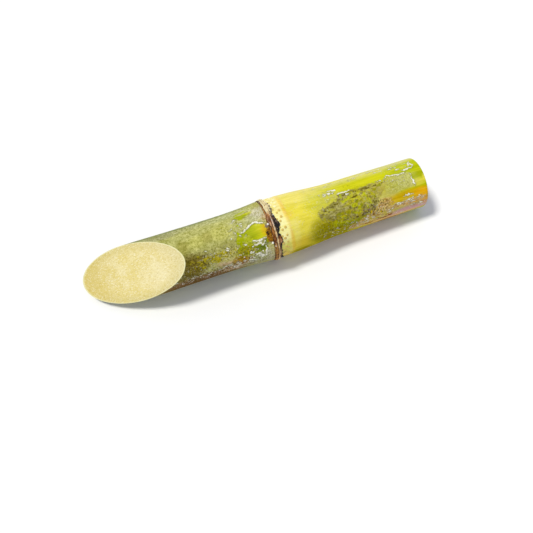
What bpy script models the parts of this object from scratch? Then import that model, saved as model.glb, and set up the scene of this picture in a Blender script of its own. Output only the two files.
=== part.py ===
# A cut length of sugarcane stalk, lying on a flat surface.
# One internode below a node and one above it, a slanting cut at the root end and a square cut at
# the tip end. Metres, +Z up, the stalk along X with its tip towards +X, origin under its middle.
# It is modelled upright, as it grows, with local z = 0 at the leaf scar, and then laid down.

import math
import random

import bmesh
import bpy
from mathutils import Matrix, Vector

MM = 0.001

# Driving sizes
LOWER_RADIUS = 19.1 * MM  # internode below the node
UPPER_RADIUS = 18.3 * MM  # internode above the node
TIP_RADIUS = 17.9 * MM  # at the square cut
ROOT_SWELL = 0.35 * MM  # how much wider it is again at the root end
NODE_LIP_RADIUS = 20.7 * MM  # where the waxy internode flares out under the leaf scar
BAND_RADIUS = 20.35 * MM  # root band, above the leaf scar
TIP_END = 111.5 * MM  # height of the square cut above the leaf scar
CUT_CENTRE = -94.0 * MM  # where the slanting cut meets the stalk's axis
CUT_SLANT = math.radians(60)  # between the slanting cut's normal and the axis
CUT_FACING = math.radians(217)  # side that the slanting cut faces
STOCK_END = -140.0 * MM  # the stalk before the slanting cut
RIM_ROUND = 0.9 * MM  # rounding of the square end's edge
OVAL = 0.09 * MM  # how far the stalk is from round
LOBES = 0.10 * MM
LOBE_LENGTH = 24 * MM  # along the stalk, over which the lobes come and go

FLARE_LENGTH = 36.0 * MM  # of the lower internode, up to the leaf scar
NECK_LENGTH = 38.0 * MM  # of the upper internode, down to the node's width
GROWTH_RING_HEIGHT = 10.4 * MM
GROWTH_RING_WIDTH = 2.8 * MM
GROWTH_RING_RISE = 0.28 * MM

# The dry rim that the leaf sheath left, in a shallow seat at the leaf scar
SEAT_RADIUS = 19.7 * MM
SEAT_BOTTOM = -2.5 * MM
SEAT_TOP = 1.9 * MM
CLEARANCE = 0.3 * MM  # between two pieces
RIM_RADIUS = 21.4 * MM  # crest of the dry rim
LONGEST_TATTER = 4.6 * MM
PLAIN_TATTER = 2.1 * MM  # where the rim is torn off short
SHORTEST_TATTER = 1.9 * MM
NEAR_TATTERS = math.radians(238)  # sides with long tatters, and the half angles that they cover
NEAR_TATTERS_HALF = math.radians(58)
LOW_TATTERS = math.radians(20)
LOW_TATTERS_HALF = math.radians(34)
LOW_TATTERS_SHARE = 0.45  # of the near side's length
TATTER_THICKNESS = 0.6 * MM

# Bud and root dots
BUD_FACING = math.radians(84)  # the far side, just above the surface that the stalk lies on
BUD_HEIGHT = 8.0 * MM  # middle of the bud above the leaf scar
BUD_LENGTH = 10.4 * MM
BUD_WIDTH = 9.2 * MM
BUD_DEPTH = 0.9 * MM  # sunk into its pit
BUD_RISE = 2.7 * MM
FURROW_LENGTH = 46.0 * MM  # shallow groove that the bud pressed into the young internode
FURROW_DEPTH = 0.5 * MM
FURROW_HALF_ANGLE = math.radians(19)
DOT_ROWS = (3.5 * MM, 5.4 * MM, 7.3 * MM)
DOTS_PER_ROW = 22
DOT_RADIUS = 0.62 * MM
DOT_RISE = 0.32 * MM
DOT_SUNK = 0.9 * MM
DOT_SHIFT = 0.35 * MM  # up or down from its row

# How it rests: on a flat spot under the dry rim and on one under the tip end
REST_FLAT = 0.2 * MM
RIM_AXIS_HEIGHT = RIM_RADIUS - REST_FLAT
TIP_AXIS_HEIGHT = TIP_RADIUS - REST_FLAT
LEAN = math.asin((RIM_AXIS_HEIGHT - TIP_AXIS_HEIGHT) / (TIP_END - RIM_ROUND))

STEPS = 72  # facets round the stalk
RIM_STEPS = 120  # and round the dry rim
SEED = 7


def ease(t):
    t = min(max(t, 0.0), 1.0)
    return t * t * (3 - 2 * t)


def radius_at(z):
    """Radius of the stalk's skin at a height above the leaf scar."""
    if z > GROWTH_RING_HEIGHT:
        narrowed = ease((z - GROWTH_RING_HEIGHT - GROWTH_RING_WIDTH / 2) / NECK_LENGTH)
        radius = BAND_RADIUS + (UPPER_RADIUS - BAND_RADIUS) * narrowed
        radius += (TIP_RADIUS - UPPER_RADIUS) * ease((z - NECK_LENGTH) / (TIP_END - NECK_LENGTH))
    elif z >= SEAT_TOP:
        radius = BAND_RADIUS
    else:
        flare = max(0.0, 1 + (z - SEAT_BOTTOM) / FLARE_LENGTH) ** 2.3
        radius = LOWER_RADIUS + (NODE_LIP_RADIUS - LOWER_RADIUS) * flare
        radius += ROOT_SWELL * ease((z - CUT_CENTRE / 2) / (CUT_CENTRE / 2))
    from_ring = (z - GROWTH_RING_HEIGHT) / (GROWTH_RING_WIDTH / 2)
    if abs(from_ring) < 1:
        radius += GROWTH_RING_RISE * (1 + math.cos(math.pi * from_ring)) / 2
    return radius


def out_of_round(angle, z):
    """How far the skin departs from a circle. It is zero along the underside, at angle 0."""
    oval = OVAL * (math.cos(2 * angle) - 1)
    lobes = LOBES * math.sin(3 * angle) * math.cos(z / LOBE_LENGTH)
    return oval + lobes


def furrow(angle, z):
    """Depth of the bud's groove, which starts above the bud and fades up the internode."""
    start = BUD_HEIGHT + BUD_LENGTH / 2
    along = (z - start) / FURROW_LENGTH
    across = math.remainder(angle - BUD_FACING, math.tau) / FURROW_HALF_ANGLE
    if not 0 < along < 1 or abs(across) > 1:
        return 0.0
    return FURROW_DEPTH * math.sin(math.pi * along**0.6) * math.cos(across * math.pi / 2) ** 2


def tatter_reach(angle, ragged):
    """Height of the dry rim's torn upper edge. It is long on the near side and short by the bud."""
    from_near = abs(math.remainder(angle - NEAR_TATTERS, math.tau)) / NEAR_TATTERS_HALF
    from_low = abs(math.remainder(angle - LOW_TATTERS, math.tau)) / LOW_TATTERS_HALF
    grown = max(ease(1.25 - from_near), LOW_TATTERS_SHARE * ease(1.2 - from_low))
    longest = PLAIN_TATTER + (LONGEST_TATTER - PLAIN_TATTER) * grown
    return longest - ragged * (longest - SHORTEST_TATTER)


def polar(radius, angle, z):
    return Vector((radius * math.cos(angle), radius * math.sin(angle), z))


def material(name, colour, roughness):
    made = bpy.data.materials.new(name)
    made.use_nodes = True
    shader = made.node_tree.nodes["Principled BSDF"]
    shader.inputs["Base Color"].default_value = (*colour, 1.0)
    shader.inputs["Roughness"].default_value = roughness
    shader.inputs["Metallic"].default_value = 0.0
    made.diffuse_color = (*colour, 1.0)
    return made


def clear_scene():
    for obj in list(bpy.data.objects):
        bpy.data.objects.remove(obj, do_unlink=True)


def new_collection(name):
    made = bpy.data.collections.new(name)
    bpy.context.scene.collection.children.link(made)
    return made


def mesh_object(name, mesh, collection, parent):
    obj = bpy.data.objects.new(name, mesh)
    collection.objects.link(obj)
    obj.parent = parent
    return obj


def apply_modifiers(obj):
    bpy.context.view_layer.update()
    graph = bpy.context.evaluated_depsgraph_get()
    mesh = bpy.data.meshes.new_from_object(obj.evaluated_get(graph))
    obj.modifiers.clear()
    obj.data = mesh


def turned(name, outline, closed, steps, collection, parent):
    """A profile of (radius, z) points turned round the stalk's axis."""
    mesh = bpy.data.meshes.new(name)
    points = [(radius, 0.0, z) for radius, z in outline]
    count = len(points)
    edges = [(i, i + 1) for i in range(count - 1)]
    if closed:
        edges.append((count - 1, 0))
    mesh.from_pydata(points, edges, [])
    obj = mesh_object(name, mesh, collection, parent)
    screw = obj.modifiers.new("turn", "SCREW")
    screw.axis = "Z"
    screw.steps = screw.render_steps = steps
    screw.use_merge_vertices = True
    screw.merge_threshold = 0.01 * MM
    apply_modifiers(obj)
    return obj


def reshape(obj, move):
    """Moves each vertex to move(radius, angle, z), and leaves the faces pointing outwards."""
    shape = bmesh.new()
    shape.from_mesh(obj.data)
    bmesh.ops.remove_doubles(shape, verts=shape.verts, dist=0.005 * MM)
    for vertex in shape.verts:
        x, y, z = vertex.co
        radius = math.hypot(x, y)
        if radius > 0.01 * MM:
            vertex.co = polar(*move(radius, math.atan2(y, x) % math.tau, z))
    bmesh.ops.recalc_face_normals(shape, faces=shape.faces)
    shape.to_mesh(obj.data)
    shape.free()


def boolean(obj, other, operation):
    modifier = obj.modifiers.new(f"{operation.lower()} {other.name}", "BOOLEAN")
    modifier.operation = operation
    modifier.solver = "EXACT"
    if isinstance(other, bpy.types.Collection):
        modifier.operand_type = "COLLECTION"
        modifier.collection = other
    else:
        modifier.object = other
    return modifier


def helper(obj):
    obj.hide_render = True
    obj.display_type = "WIRE"
    return obj


def shade(obj, made):
    obj.data.materials.clear()
    obj.data.materials.append(made)
    obj.data.shade_smooth()
    obj.data.set_sharp_from_angle(angle=math.radians(35))


def stalk_outline():
    """The stalk's profile from the tip end's middle, down its side, to the root end's middle."""
    heights = [TIP_END - RIM_ROUND - step * 10 * MM for step in range(7)]
    heights += [GROWTH_RING_HEIGHT + GROWTH_RING_WIDTH / 2 + step * 5.2 * MM for step in range(6, -1, -1)]
    heights += [GROWTH_RING_HEIGHT + GROWTH_RING_WIDTH / 2 * part for part in (0.5, 0, -0.5, -1)]
    heights += [6.4 * MM, 4.2 * MM, SEAT_TOP + 0.05 * MM]
    outline = [(0.0, TIP_END)]
    for turn in (90, 60, 30):  # the rounded edge of the square end
        bend = math.radians(turn)
        outline.append(
            (
                TIP_RADIUS - RIM_ROUND * (1 - math.cos(bend)),
                TIP_END - RIM_ROUND * (1 - math.sin(bend)),
            )
        )
    outline += [(radius_at(z), z) for z in heights]
    outline += [(SEAT_RADIUS, SEAT_TOP - 0.05 * MM), (SEAT_RADIUS, SEAT_BOTTOM + 0.05 * MM)]
    below = [0.05, 1, 3, 6, 10, 15, 21, 28, 37, 48, 60, 73, 87, 102, 118]
    outline += [(radius_at(SEAT_BOTTOM - drop * MM), SEAT_BOTTOM - drop * MM) for drop in below]
    outline += [(radius_at(STOCK_END), STOCK_END), (0.0, STOCK_END)]
    return outline


def root_dots(collection, parent, tatters):
    """The pale root buds that dot the band above the leaf scar, clear of the bud and of the dry rim."""
    draw = random.Random(SEED)
    spacing = math.tau / DOTS_PER_ROW
    for row, height in enumerate(DOT_ROWS):
        for number in range(DOTS_PER_ROW):
            angle = (number + 0.33 * row + draw.uniform(-0.16, 0.16)) * spacing
            z = height + draw.uniform(-DOT_SHIFT, DOT_SHIFT)
            size = draw.uniform(0.85, 1.15)
            from_bud = abs(math.remainder(angle - BUD_FACING, math.tau)) * BAND_RADIUS
            over_tatters = z - DOT_RADIUS - tatters(angle)
            if from_bud < BUD_WIDTH / 2 + 1.6 * MM or over_tatters < 0.5 * MM:
                continue
            skin = radius_at(z) + out_of_round(angle, z)
            shape = bmesh.new()
            bmesh.ops.create_cone(
                shape,
                cap_ends=True,
                segments=6,
                radius1=DOT_RADIUS * size,
                radius2=DOT_RADIUS * 0.5 * size,
                depth=DOT_RISE + DOT_SUNK,
            )
            mesh = bpy.data.meshes.new("root dot")
            shape.to_mesh(mesh)
            shape.free()
            dot = mesh_object("root dot", mesh, collection, parent)
            middle = skin + (DOT_RISE - DOT_SUNK) / 2
            dot.rotation_euler = (0, math.radians(90), angle)
            dot.location = polar(middle, angle, z)


def make_stalk(collection, cutters, parent, tatters, floor):
    stalk = turned("stalk", stalk_outline(), False, STEPS, collection, parent)

    def skin(radius, angle, z):
        at_side = ease((radius - LOWER_RADIUS / 2) / (LOWER_RADIUS / 2))
        return radius + at_side * (out_of_round(angle, z) - furrow(angle, z)), angle, z

    reshape(stalk, skin)
    dots = new_collection("root dots")
    root_dots(dots, parent, tatters)
    boolean(stalk, dots, "UNION")
    boolean(stalk, bud_pit(cutters, parent), "DIFFERENCE")
    boolean(stalk, slanting_blade(cutters, parent), "DIFFERENCE")
    apply_modifiers(stalk)
    for dot in list(dots.objects):
        bpy.data.objects.remove(dot, do_unlink=True)
    bpy.data.collections.remove(dots)
    boolean(stalk, floor, "DIFFERENCE")
    shade(stalk, material("cane rind", (0.56, 0.58, 0.16), 0.42))
    return stalk


def slanting_blade(cutters, parent):
    """A block whose lower face is the slanting cut."""
    normal = polar(math.sin(CUT_SLANT), CUT_FACING, -math.cos(CUT_SLANT))
    side = 8 * LOWER_RADIUS
    bpy.ops.mesh.primitive_cube_add(size=side)
    blade = bpy.context.object
    blade.name = "slanting blade"
    move_to(blade, cutters, parent)
    blade.rotation_euler = normal.to_track_quat("Z", "Y").to_euler()
    blade.location = Vector((0, 0, CUT_CENTRE)) + normal * side / 2
    return helper(blade)


def move_to(obj, collection, parent):
    for holder in list(obj.users_collection):
        holder.objects.unlink(obj)
    collection.objects.link(obj)
    obj.parent = parent


def floor_block(cutters):
    """Trims the flat spots on which the stalk rests."""
    side = 2 * (TIP_END - STOCK_END)
    bpy.ops.mesh.primitive_cube_add(size=side, location=(0, 0, -side / 2))
    floor = bpy.context.object
    floor.name = "floor block"
    move_to(floor, cutters, None)
    return helper(floor)


def bud_place(radius):
    """The bud's own axes, at this distance from the stalk's: x across, y towards the tip, z outwards."""
    out = polar(1.0, BUD_FACING, 0.0)
    along = Vector((0, 0, 1))
    across = along.cross(out)
    turn = Matrix((across, along, out)).transposed().to_4x4()
    return Matrix.Translation(out * radius + along * BUD_HEIGHT) @ turn


def bud_half_width(along):
    """The bud's width, as a share of its widest, from its round base at -1 to its narrower tip at 1."""
    return 1 - 0.24 * ease((along + 0.1) / 1.1)


def bud_pit(cutters, parent):
    bpy.ops.mesh.primitive_cylinder_add(vertices=32, radius=1.0, depth=1.0)
    pit = bpy.context.object
    pit.name = "bud pit"
    depth = 3 * BUD_RISE
    for vertex in pit.data.vertices:
        x, y, z = vertex.co
        vertex.co = (
            x * bud_half_width(y) * BUD_WIDTH / 2 * (1 + 2 * CLEARANCE / BUD_WIDTH),
            y * (BUD_LENGTH / 2 + CLEARANCE),
            (z + 0.5) * depth,
        )
    move_to(pit, cutters, parent)
    pit.matrix_local = bud_place(BAND_RADIUS - BUD_DEPTH - CLEARANCE)
    return helper(pit)


def make_bud(collection, parent):
    bpy.ops.mesh.primitive_uv_sphere_add(segments=28, ring_count=14, radius=1.0)
    bud = bpy.context.object
    bud.name = "bud"
    for vertex in bud.data.vertices:
        x, y, z = vertex.co
        reach = math.hypot(x, y)
        if z < -0.01:
            height = 0.0
        else:
            # A rim of two scale wings lies round a plumper middle, and the pore is near the tip.
            wing = 0.42 * (1 - reach**5)
            middle = 0.58 * ease(2.1 - 2.6 * math.hypot(x, y - 0.06))
            pore = 0.14 * math.exp(-(x * x + (y - 0.42) ** 2) / 0.02)
            height = BUD_DEPTH + BUD_RISE * (wing + middle - pore)
        vertex.co = (x * bud_half_width(y) * BUD_WIDTH / 2, y * BUD_LENGTH / 2, height)
    move_to(bud, collection, parent)
    bud.matrix_local = bud_place(BAND_RADIUS - BUD_DEPTH)
    shade(bud, material("dry bud", (0.42, 0.20, 0.06), 0.6))
    return bud


def make_dry_rim(collection, parent, tatters, floor):
    """The dry foot of the leaf sheath: a rim in the leaf scar's seat, torn along its upper edge."""
    inner = SEAT_RADIUS + CLEARANCE
    lap = BAND_RADIUS + CLEARANCE
    bottom = SEAT_BOTTOM + CLEARANCE
    outline = [
        (inner, bottom),
        (inner, SEAT_TOP - CLEARANCE),
        (lap, SEAT_TOP - CLEARANCE / 2),
        (lap, LONGEST_TATTER * 0.7),
        (lap, LONGEST_TATTER),
        (lap + TATTER_THICKNESS, LONGEST_TATTER),
        (lap + TATTER_THICKNESS, LONGEST_TATTER * 0.7),
        (lap + TATTER_THICKNESS, 1.3 * MM),
        (RIM_RADIUS, 0.7 * MM),
        (RIM_RADIUS, -0.1 * MM),
        (RIM_RADIUS - 0.45 * MM, -0.8 * MM),
        (RIM_RADIUS - 0.6 * MM, -1.6 * MM),
        (RIM_RADIUS - 0.9 * MM, bottom),
    ]
    rim = turned("sheath_rim", outline, True, RIM_STEPS, collection, parent)

    def torn(radius, angle, z):
        if z > SEAT_TOP:
            z = SEAT_TOP + (z - SEAT_TOP) * (tatters(angle) - SEAT_TOP) / (LONGEST_TATTER - SEAT_TOP)
        return radius + out_of_round(angle, z), angle, z

    reshape(rim, torn)
    boolean(rim, floor, "DIFFERENCE")
    shade(rim, material("dry sheath", (0.25, 0.14, 0.07), 0.85))
    return rim


def torn_edge():
    """The torn edge's height at any angle, from one seeded draw for each facet of the rim."""
    draw = random.Random(SEED)
    ragged = [draw.random() ** 1.4 for _ in range(RIM_STEPS)]

    def height(angle):
        place = (angle % math.tau) / math.tau * RIM_STEPS
        first = int(place) % RIM_STEPS
        share = place - int(place)
        mixed = ragged[first] * (1 - share) + ragged[(first + 1) % RIM_STEPS] * share
        return max(tatter_reach(angle, mixed), SEAT_TOP + 0.15 * MM)

    return height


def centre_over_origin(laid, parts):
    """Slides the laid stalk so that the middle of its outline from above is at the origin."""
    bpy.context.view_layer.update()
    graph = bpy.context.evaluated_depsgraph_get()
    corners = []
    for part in parts:
        shown = part.evaluated_get(graph)
        corners += [shown.matrix_world @ vertex.co for vertex in shown.data.vertices]
    for axis in (0, 1):
        values = [corner[axis] for corner in corners]
        laid.location[axis] -= (min(values) + max(values)) / 2
    bpy.context.view_layer.update()


def main():
    clear_scene()
    parts = new_collection("sugarcane_stalk")
    cutters = new_collection("cutters")
    laid = bpy.data.objects.new("laid on its side", None)
    parts.objects.link(laid)
    laid.rotation_euler = (0, math.radians(90) + LEAN, 0)
    laid.location = (0, 0, RIM_AXIS_HEIGHT)
    floor = floor_block(cutters)
    tatters = torn_edge()
    made = [
        make_stalk(parts, cutters, laid, tatters, floor),
        make_dry_rim(parts, laid, tatters, floor),
        make_bud(parts, laid),
    ]
    centre_over_origin(laid, made)


main()
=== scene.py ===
# Sugarcane stalk: the looks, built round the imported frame.
# Every piece is modelled upright, as the cane grew, with height 0 at the leaf scar, then laid down.
import math
import random

import bpy
import numpy as np
from mathutils import Matrix, Vector, noise


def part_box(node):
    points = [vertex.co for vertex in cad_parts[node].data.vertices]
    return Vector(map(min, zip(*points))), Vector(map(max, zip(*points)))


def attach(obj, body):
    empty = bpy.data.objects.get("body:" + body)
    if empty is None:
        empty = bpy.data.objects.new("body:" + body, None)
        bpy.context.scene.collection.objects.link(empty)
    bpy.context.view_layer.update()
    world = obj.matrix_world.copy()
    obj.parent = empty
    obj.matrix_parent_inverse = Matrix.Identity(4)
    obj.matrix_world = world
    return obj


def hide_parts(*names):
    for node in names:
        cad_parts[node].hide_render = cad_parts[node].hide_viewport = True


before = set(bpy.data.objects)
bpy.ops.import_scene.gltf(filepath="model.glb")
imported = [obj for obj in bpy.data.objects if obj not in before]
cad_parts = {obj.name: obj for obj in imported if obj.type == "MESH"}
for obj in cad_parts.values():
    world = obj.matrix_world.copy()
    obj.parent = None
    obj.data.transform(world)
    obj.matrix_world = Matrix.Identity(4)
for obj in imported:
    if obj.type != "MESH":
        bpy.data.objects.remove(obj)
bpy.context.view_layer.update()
mm = 0.001
print("frame:", ", ".join(sorted(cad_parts)))

# The stalk's own sizes, in mm and degrees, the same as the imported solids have
cane = {
    "lowerRadius": 19.1,
    "upperRadius": 18.3,
    "tipRadius": 17.9,
    "rootSwell": 0.35,
    "lipRadius": 20.7,  # where the lower internode flares out under the leaf scar
    "bandRadius": 20.35,
    "rimRadius": 21.4,  # of the dry rim at the leaf scar
    "tipEnd": 111.5,
    "endRound": 0.9,
    "cutCentre": -94.0,
    "cutSlant": 60.0,
    "cutFacing": 217.0,
    "flareLength": 36.0,
    "neckLength": 38.0,
    "seat": (-2.5, 1.9),
    "seatRadius": 19.7,
    "growthRing": (10.4, 2.8, 0.28),  # height, width and rise
    "oval": 0.09,
    "lobes": 0.10,
    "lobeLength": 24.0,
    "budFacing": 84.0,
    "budHeight": 8.0,
    "furrow": (46.0, 0.5, 19.0),  # length, depth and half angle
    "restFlat": 0.2,
}
rimLow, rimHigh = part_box("sheath_rim")
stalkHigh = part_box("stalk")[1]
lean = math.asin((cane["rimRadius"] - cane["tipRadius"]) / (cane["tipEnd"] - cane["endRound"]))
scar = Vector((  # the leaf scar's centre
    stalkHigh.x
    - cane["tipEnd"] * mm * math.cos(lean)
    - (cane["tipRadius"] - cane["endRound"]) * mm * math.sin(lean),
    (rimLow.y + rimHigh.y) / 2 + cane["lobes"] * mm,
    (cane["rimRadius"] - cane["restFlat"]) * mm,
))
laidDown = Matrix.Translation(scar) @ Matrix.Rotation(math.radians(90) + lean, 4, "Y") @ Matrix.Scale(mm, 4)


def ease(t):
    t = np.clip(t, 0.0, 1.0)
    return t * t * (3 - 2 * t)


def turnFrom(angle, middle):  # degrees from middle, the short way round
    return (angle - middle + 180.0) % 360.0 - 180.0


def linear(code):  # "#RRGGBB" as the shaders read it
    shares = [int(code[i:i + 2], 16) / 255 for i in (1, 3, 5)]
    return tuple(s / 12.92 if s <= 0.04045 else ((s + 0.055) / 1.055) ** 2.4 for s in shares)


def deselect():
    if bpy.context.object and bpy.context.object.mode != "OBJECT":
        bpy.ops.object.mode_set(mode="OBJECT")
    bpy.ops.object.select_all(action="DESELECT")


def pick(piece):
    deselect()
    piece.select_set(True)
    bpy.context.view_layer.objects.active = piece


def applyModifier(piece, kind, **settings):
    pick(piece)
    modifier = piece.modifiers.new(kind.lower(), kind)
    for name, value in settings.items():
        setattr(modifier, name, value)
    bpy.ops.object.modifier_apply(modifier=modifier.name)


def joinPieces(pieces, name):
    deselect()
    for piece in pieces:
        piece.select_set(True)
    bpy.context.view_layer.objects.active = pieces[0]
    if len(pieces) > 1:
        bpy.ops.object.join()
    joined = bpy.context.object
    joined.name = joined.data.name = name
    return joined


def copyOf(pattern):  # a copy with its own mesh
    piece = pattern.copy()
    piece.data = pattern.data.copy()
    bpy.context.collection.objects.link(piece)
    return piece


def faceOutward():  # ends a spell in edit mode
    bpy.ops.mesh.select_all(action="SELECT")
    bpy.ops.mesh.normals_make_consistent(inside=False)
    bpy.ops.object.mode_set(mode="OBJECT")


def layDown(piece, smooth):  # turns an upright piece onto the floor; edges sharper than smooth degrees stay
    pick(piece)
    bpy.ops.object.transform_apply(location=True, rotation=True, scale=True)
    piece.matrix_world = laidDown
    bpy.ops.object.transform_apply(location=True, rotation=True, scale=True)
    points = readPoints(piece.data)
    points[:, 2] = np.maximum(points[:, 2], 0)
    writePoints(piece.data, points)
    bpy.ops.object.shade_smooth_by_angle(angle=math.radians(smooth))
    print(piece.name + ":", len(piece.data.polygons), "faces")


def readPoints(mesh):
    points = np.empty(len(mesh.vertices) * 3)
    mesh.vertices.foreach_get("co", points)
    return points.reshape(-1, 3)


def writePoints(mesh, points):
    mesh.vertices.foreach_set("co", points.astype(np.float32).ravel())
    mesh.update()


def toPolar(points):  # height, angle in degrees and radius of upright points
    x, y, z = points.T
    return z, np.degrees(np.arctan2(y, x)) % 360.0, np.hypot(x, y)


def fromPolar(radius, angle, height):
    turn = np.radians(angle)
    return np.stack([radius * np.cos(turn), radius * np.sin(turn), height], -1)


def grain(points, size, seed, octaves=2):  # smooth noise between about -1 and 1
    shift = Vector((seed * 17.3, seed * 5.1, -seed * 9.7))
    stretch = np.asarray(points) / np.asarray(size)
    return np.array([noise.fractal(Vector(p) + shift, 0.7, 2.0, octaves) for p in stretch])


def keepAttribute(mesh, name, values):
    layer = mesh.attributes.new(name, "FLOAT", "POINT")
    layer.data.foreach_set("value", np.asarray(values, np.float32))


def keepColour(mesh, name, colours):
    layer = mesh.attributes.new(name, "FLOAT_COLOR", "POINT")
    opaque = np.column_stack([colours, np.ones(len(colours))])
    layer.data.foreach_set("color", opaque.astype(np.float32).ravel())


def over(colour, code, share):  # the colours with one more laid over them, by a share for each point
    return colour * (1 - share[:, None]) + np.array(linear(code)) * share[:, None]


# Camera: the photo's angle on the stalk. It looks down and along the stalk's near side.
view = {
    "elevation": 60.0, "turn": 20.9, "pixelFocus": 700.0, "distance": 473.0, "scarAt": (267.9, 229.8),
    "pixels": 533, "sensor": 36.0,
}


def addCamera():
    down, turn = math.radians(view["elevation"]), math.radians(view["turn"])
    right = Vector((math.cos(turn), -math.sin(turn), 0))
    ahead = Vector((math.sin(turn), math.cos(turn), 0))
    forward = ahead * math.cos(down) - Vector((0, 0, math.sin(down)))
    up = right.cross(forward)
    sideways = (view["scarAt"][0] - view["pixels"] / 2) / view["pixelFocus"]
    lower = (view["scarAt"][1] - view["pixels"] / 2) / view["pixelFocus"]
    eye = (forward + right * sideways - up * lower) * -view["distance"] * mm
    facing = Matrix((right, up, -forward)).transposed().to_4x4()
    bpy.ops.object.camera_add()
    camera = bpy.context.object
    leaning = Matrix.Translation(scar) @ Matrix.Rotation(lean, 4, "Y")
    camera.matrix_world = leaning @ Matrix.Translation(eye) @ facing
    camera.data.sensor_width = view["sensor"]
    camera.data.sensor_fit = "HORIZONTAL"
    camera.data.lens = view["pixelFocus"] * view["sensor"] / view["pixels"]
    camera.data.clip_start = 0.01
    bpy.context.scene.camera = camera


# Studio: a white sweep, one big soft light from above left, and an even white sky
studio = {
    "key": 2.48, "keyTone": "#FFFDF2", "keyFrom": (-0.38, 0.13, 0.95), "keySoftness": 13.0,
    "sky": 0.52, "skyTone": "#E9EEFF", "floor": "#F4F4F6",
}


def addStudio():
    bpy.ops.mesh.primitive_plane_add(size=4, location=(0, 0, -0.02 * mm))
    floor = bpy.context.object
    floor.name = "floor"
    floor.data.materials.append(makePlain("whiteSweep", studio["floor"], 0.9, 0.1))
    bpy.ops.object.light_add(type="SUN")
    key = bpy.context.object
    key.name = "key"
    key.data.energy = studio["key"]
    key.data.color = linear(studio["keyTone"])
    key.data.angle = math.radians(studio["keySoftness"])
    key.rotation_euler = Vector(studio["keyFrom"]).to_track_quat("Z", "Y").to_euler()
    world = bpy.data.worlds.new("studio")
    bpy.context.scene.world = world
    world.use_nodes = True
    sky = world.node_tree.nodes["Background"]
    sky.inputs["Color"].default_value = (*linear(studio["skyTone"]), 1)
    sky.inputs["Strength"].default_value = studio["sky"]
    bpy.context.scene.view_settings.view_transform = "Standard"
    bpy.context.scene.view_settings.look = "None"


# The stalk's surface
def radiusAt(z):  # smooth radius of the skin, in mm
    ringHeight, ringWidth, ringRise = cane["growthRing"]
    seatLow = cane["seat"][0]
    neck = ease((z - ringHeight - ringWidth / 2) / cane["neckLength"])
    above = cane["bandRadius"] + (cane["upperRadius"] - cane["bandRadius"]) * neck
    taper = ease((z - cane["neckLength"]) / (cane["tipEnd"] - cane["neckLength"]))
    above = above + (cane["tipRadius"] - cane["upperRadius"]) * taper
    flare = np.clip(1 + (z - seatLow) / cane["flareLength"], 0, 1) ** 2.3
    below = cane["lowerRadius"] + (cane["lipRadius"] - cane["lowerRadius"]) * flare
    below = below + cane["rootSwell"] * ease((z - cane["cutCentre"] / 2) / (cane["cutCentre"] / 2))
    fromRing = np.clip((z - ringHeight) / (ringWidth / 2), -1, 1)
    ring = ringRise * (1 + np.cos(np.pi * fromRing)) / 2
    return np.where(z > seatLow, above, below) + ring


def outOfRound(angle, z):  # mm that the skin lies off its mean radius
    turn = np.radians(angle)
    lobes = cane["lobes"] * np.sin(3 * turn) * np.cos(z / cane["lobeLength"])
    return cane["oval"] * (np.cos(2 * turn) - 1) + lobes


def furrowDepth(angle, z):  # the groove that the bud pressed into the young internode
    length, depth, halfAngle = cane["furrow"]
    along = np.clip((z - cane["budHeight"] - 5.2) / length, 0, 1)
    across = np.clip(np.abs(turnFrom(angle, cane["budFacing"])) / halfAngle, 0, 1)
    return depth * np.sin(np.pi * along ** 0.6) * np.cos(across * np.pi / 2) ** 2


def girth(z):  # the radius at one height
    return float(radiusAt(np.array(z)))


def standOn(angle, height, lift=0.0):  # a place on the rind, lift mm out, whose Z points straight outward
    out = girth(height) + float(outOfRound(np.array(angle), np.array(height))) + lift
    turned = Matrix.Rotation(math.radians(angle), 4, "Z") @ Matrix.Translation((out, 0, height))
    return turned @ Matrix.Rotation(math.radians(90), 4, "Y")


mmPerDegree = math.radians(19.0)  # round the rind
brushCore, brushFade = 0.45, 0.95  # shares of a stroke's half size: its even middle and its soft edge
patchMargin, curlMargin = 7.0, 3.0  # mm measured round a patch, and round a curl or spot

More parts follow.
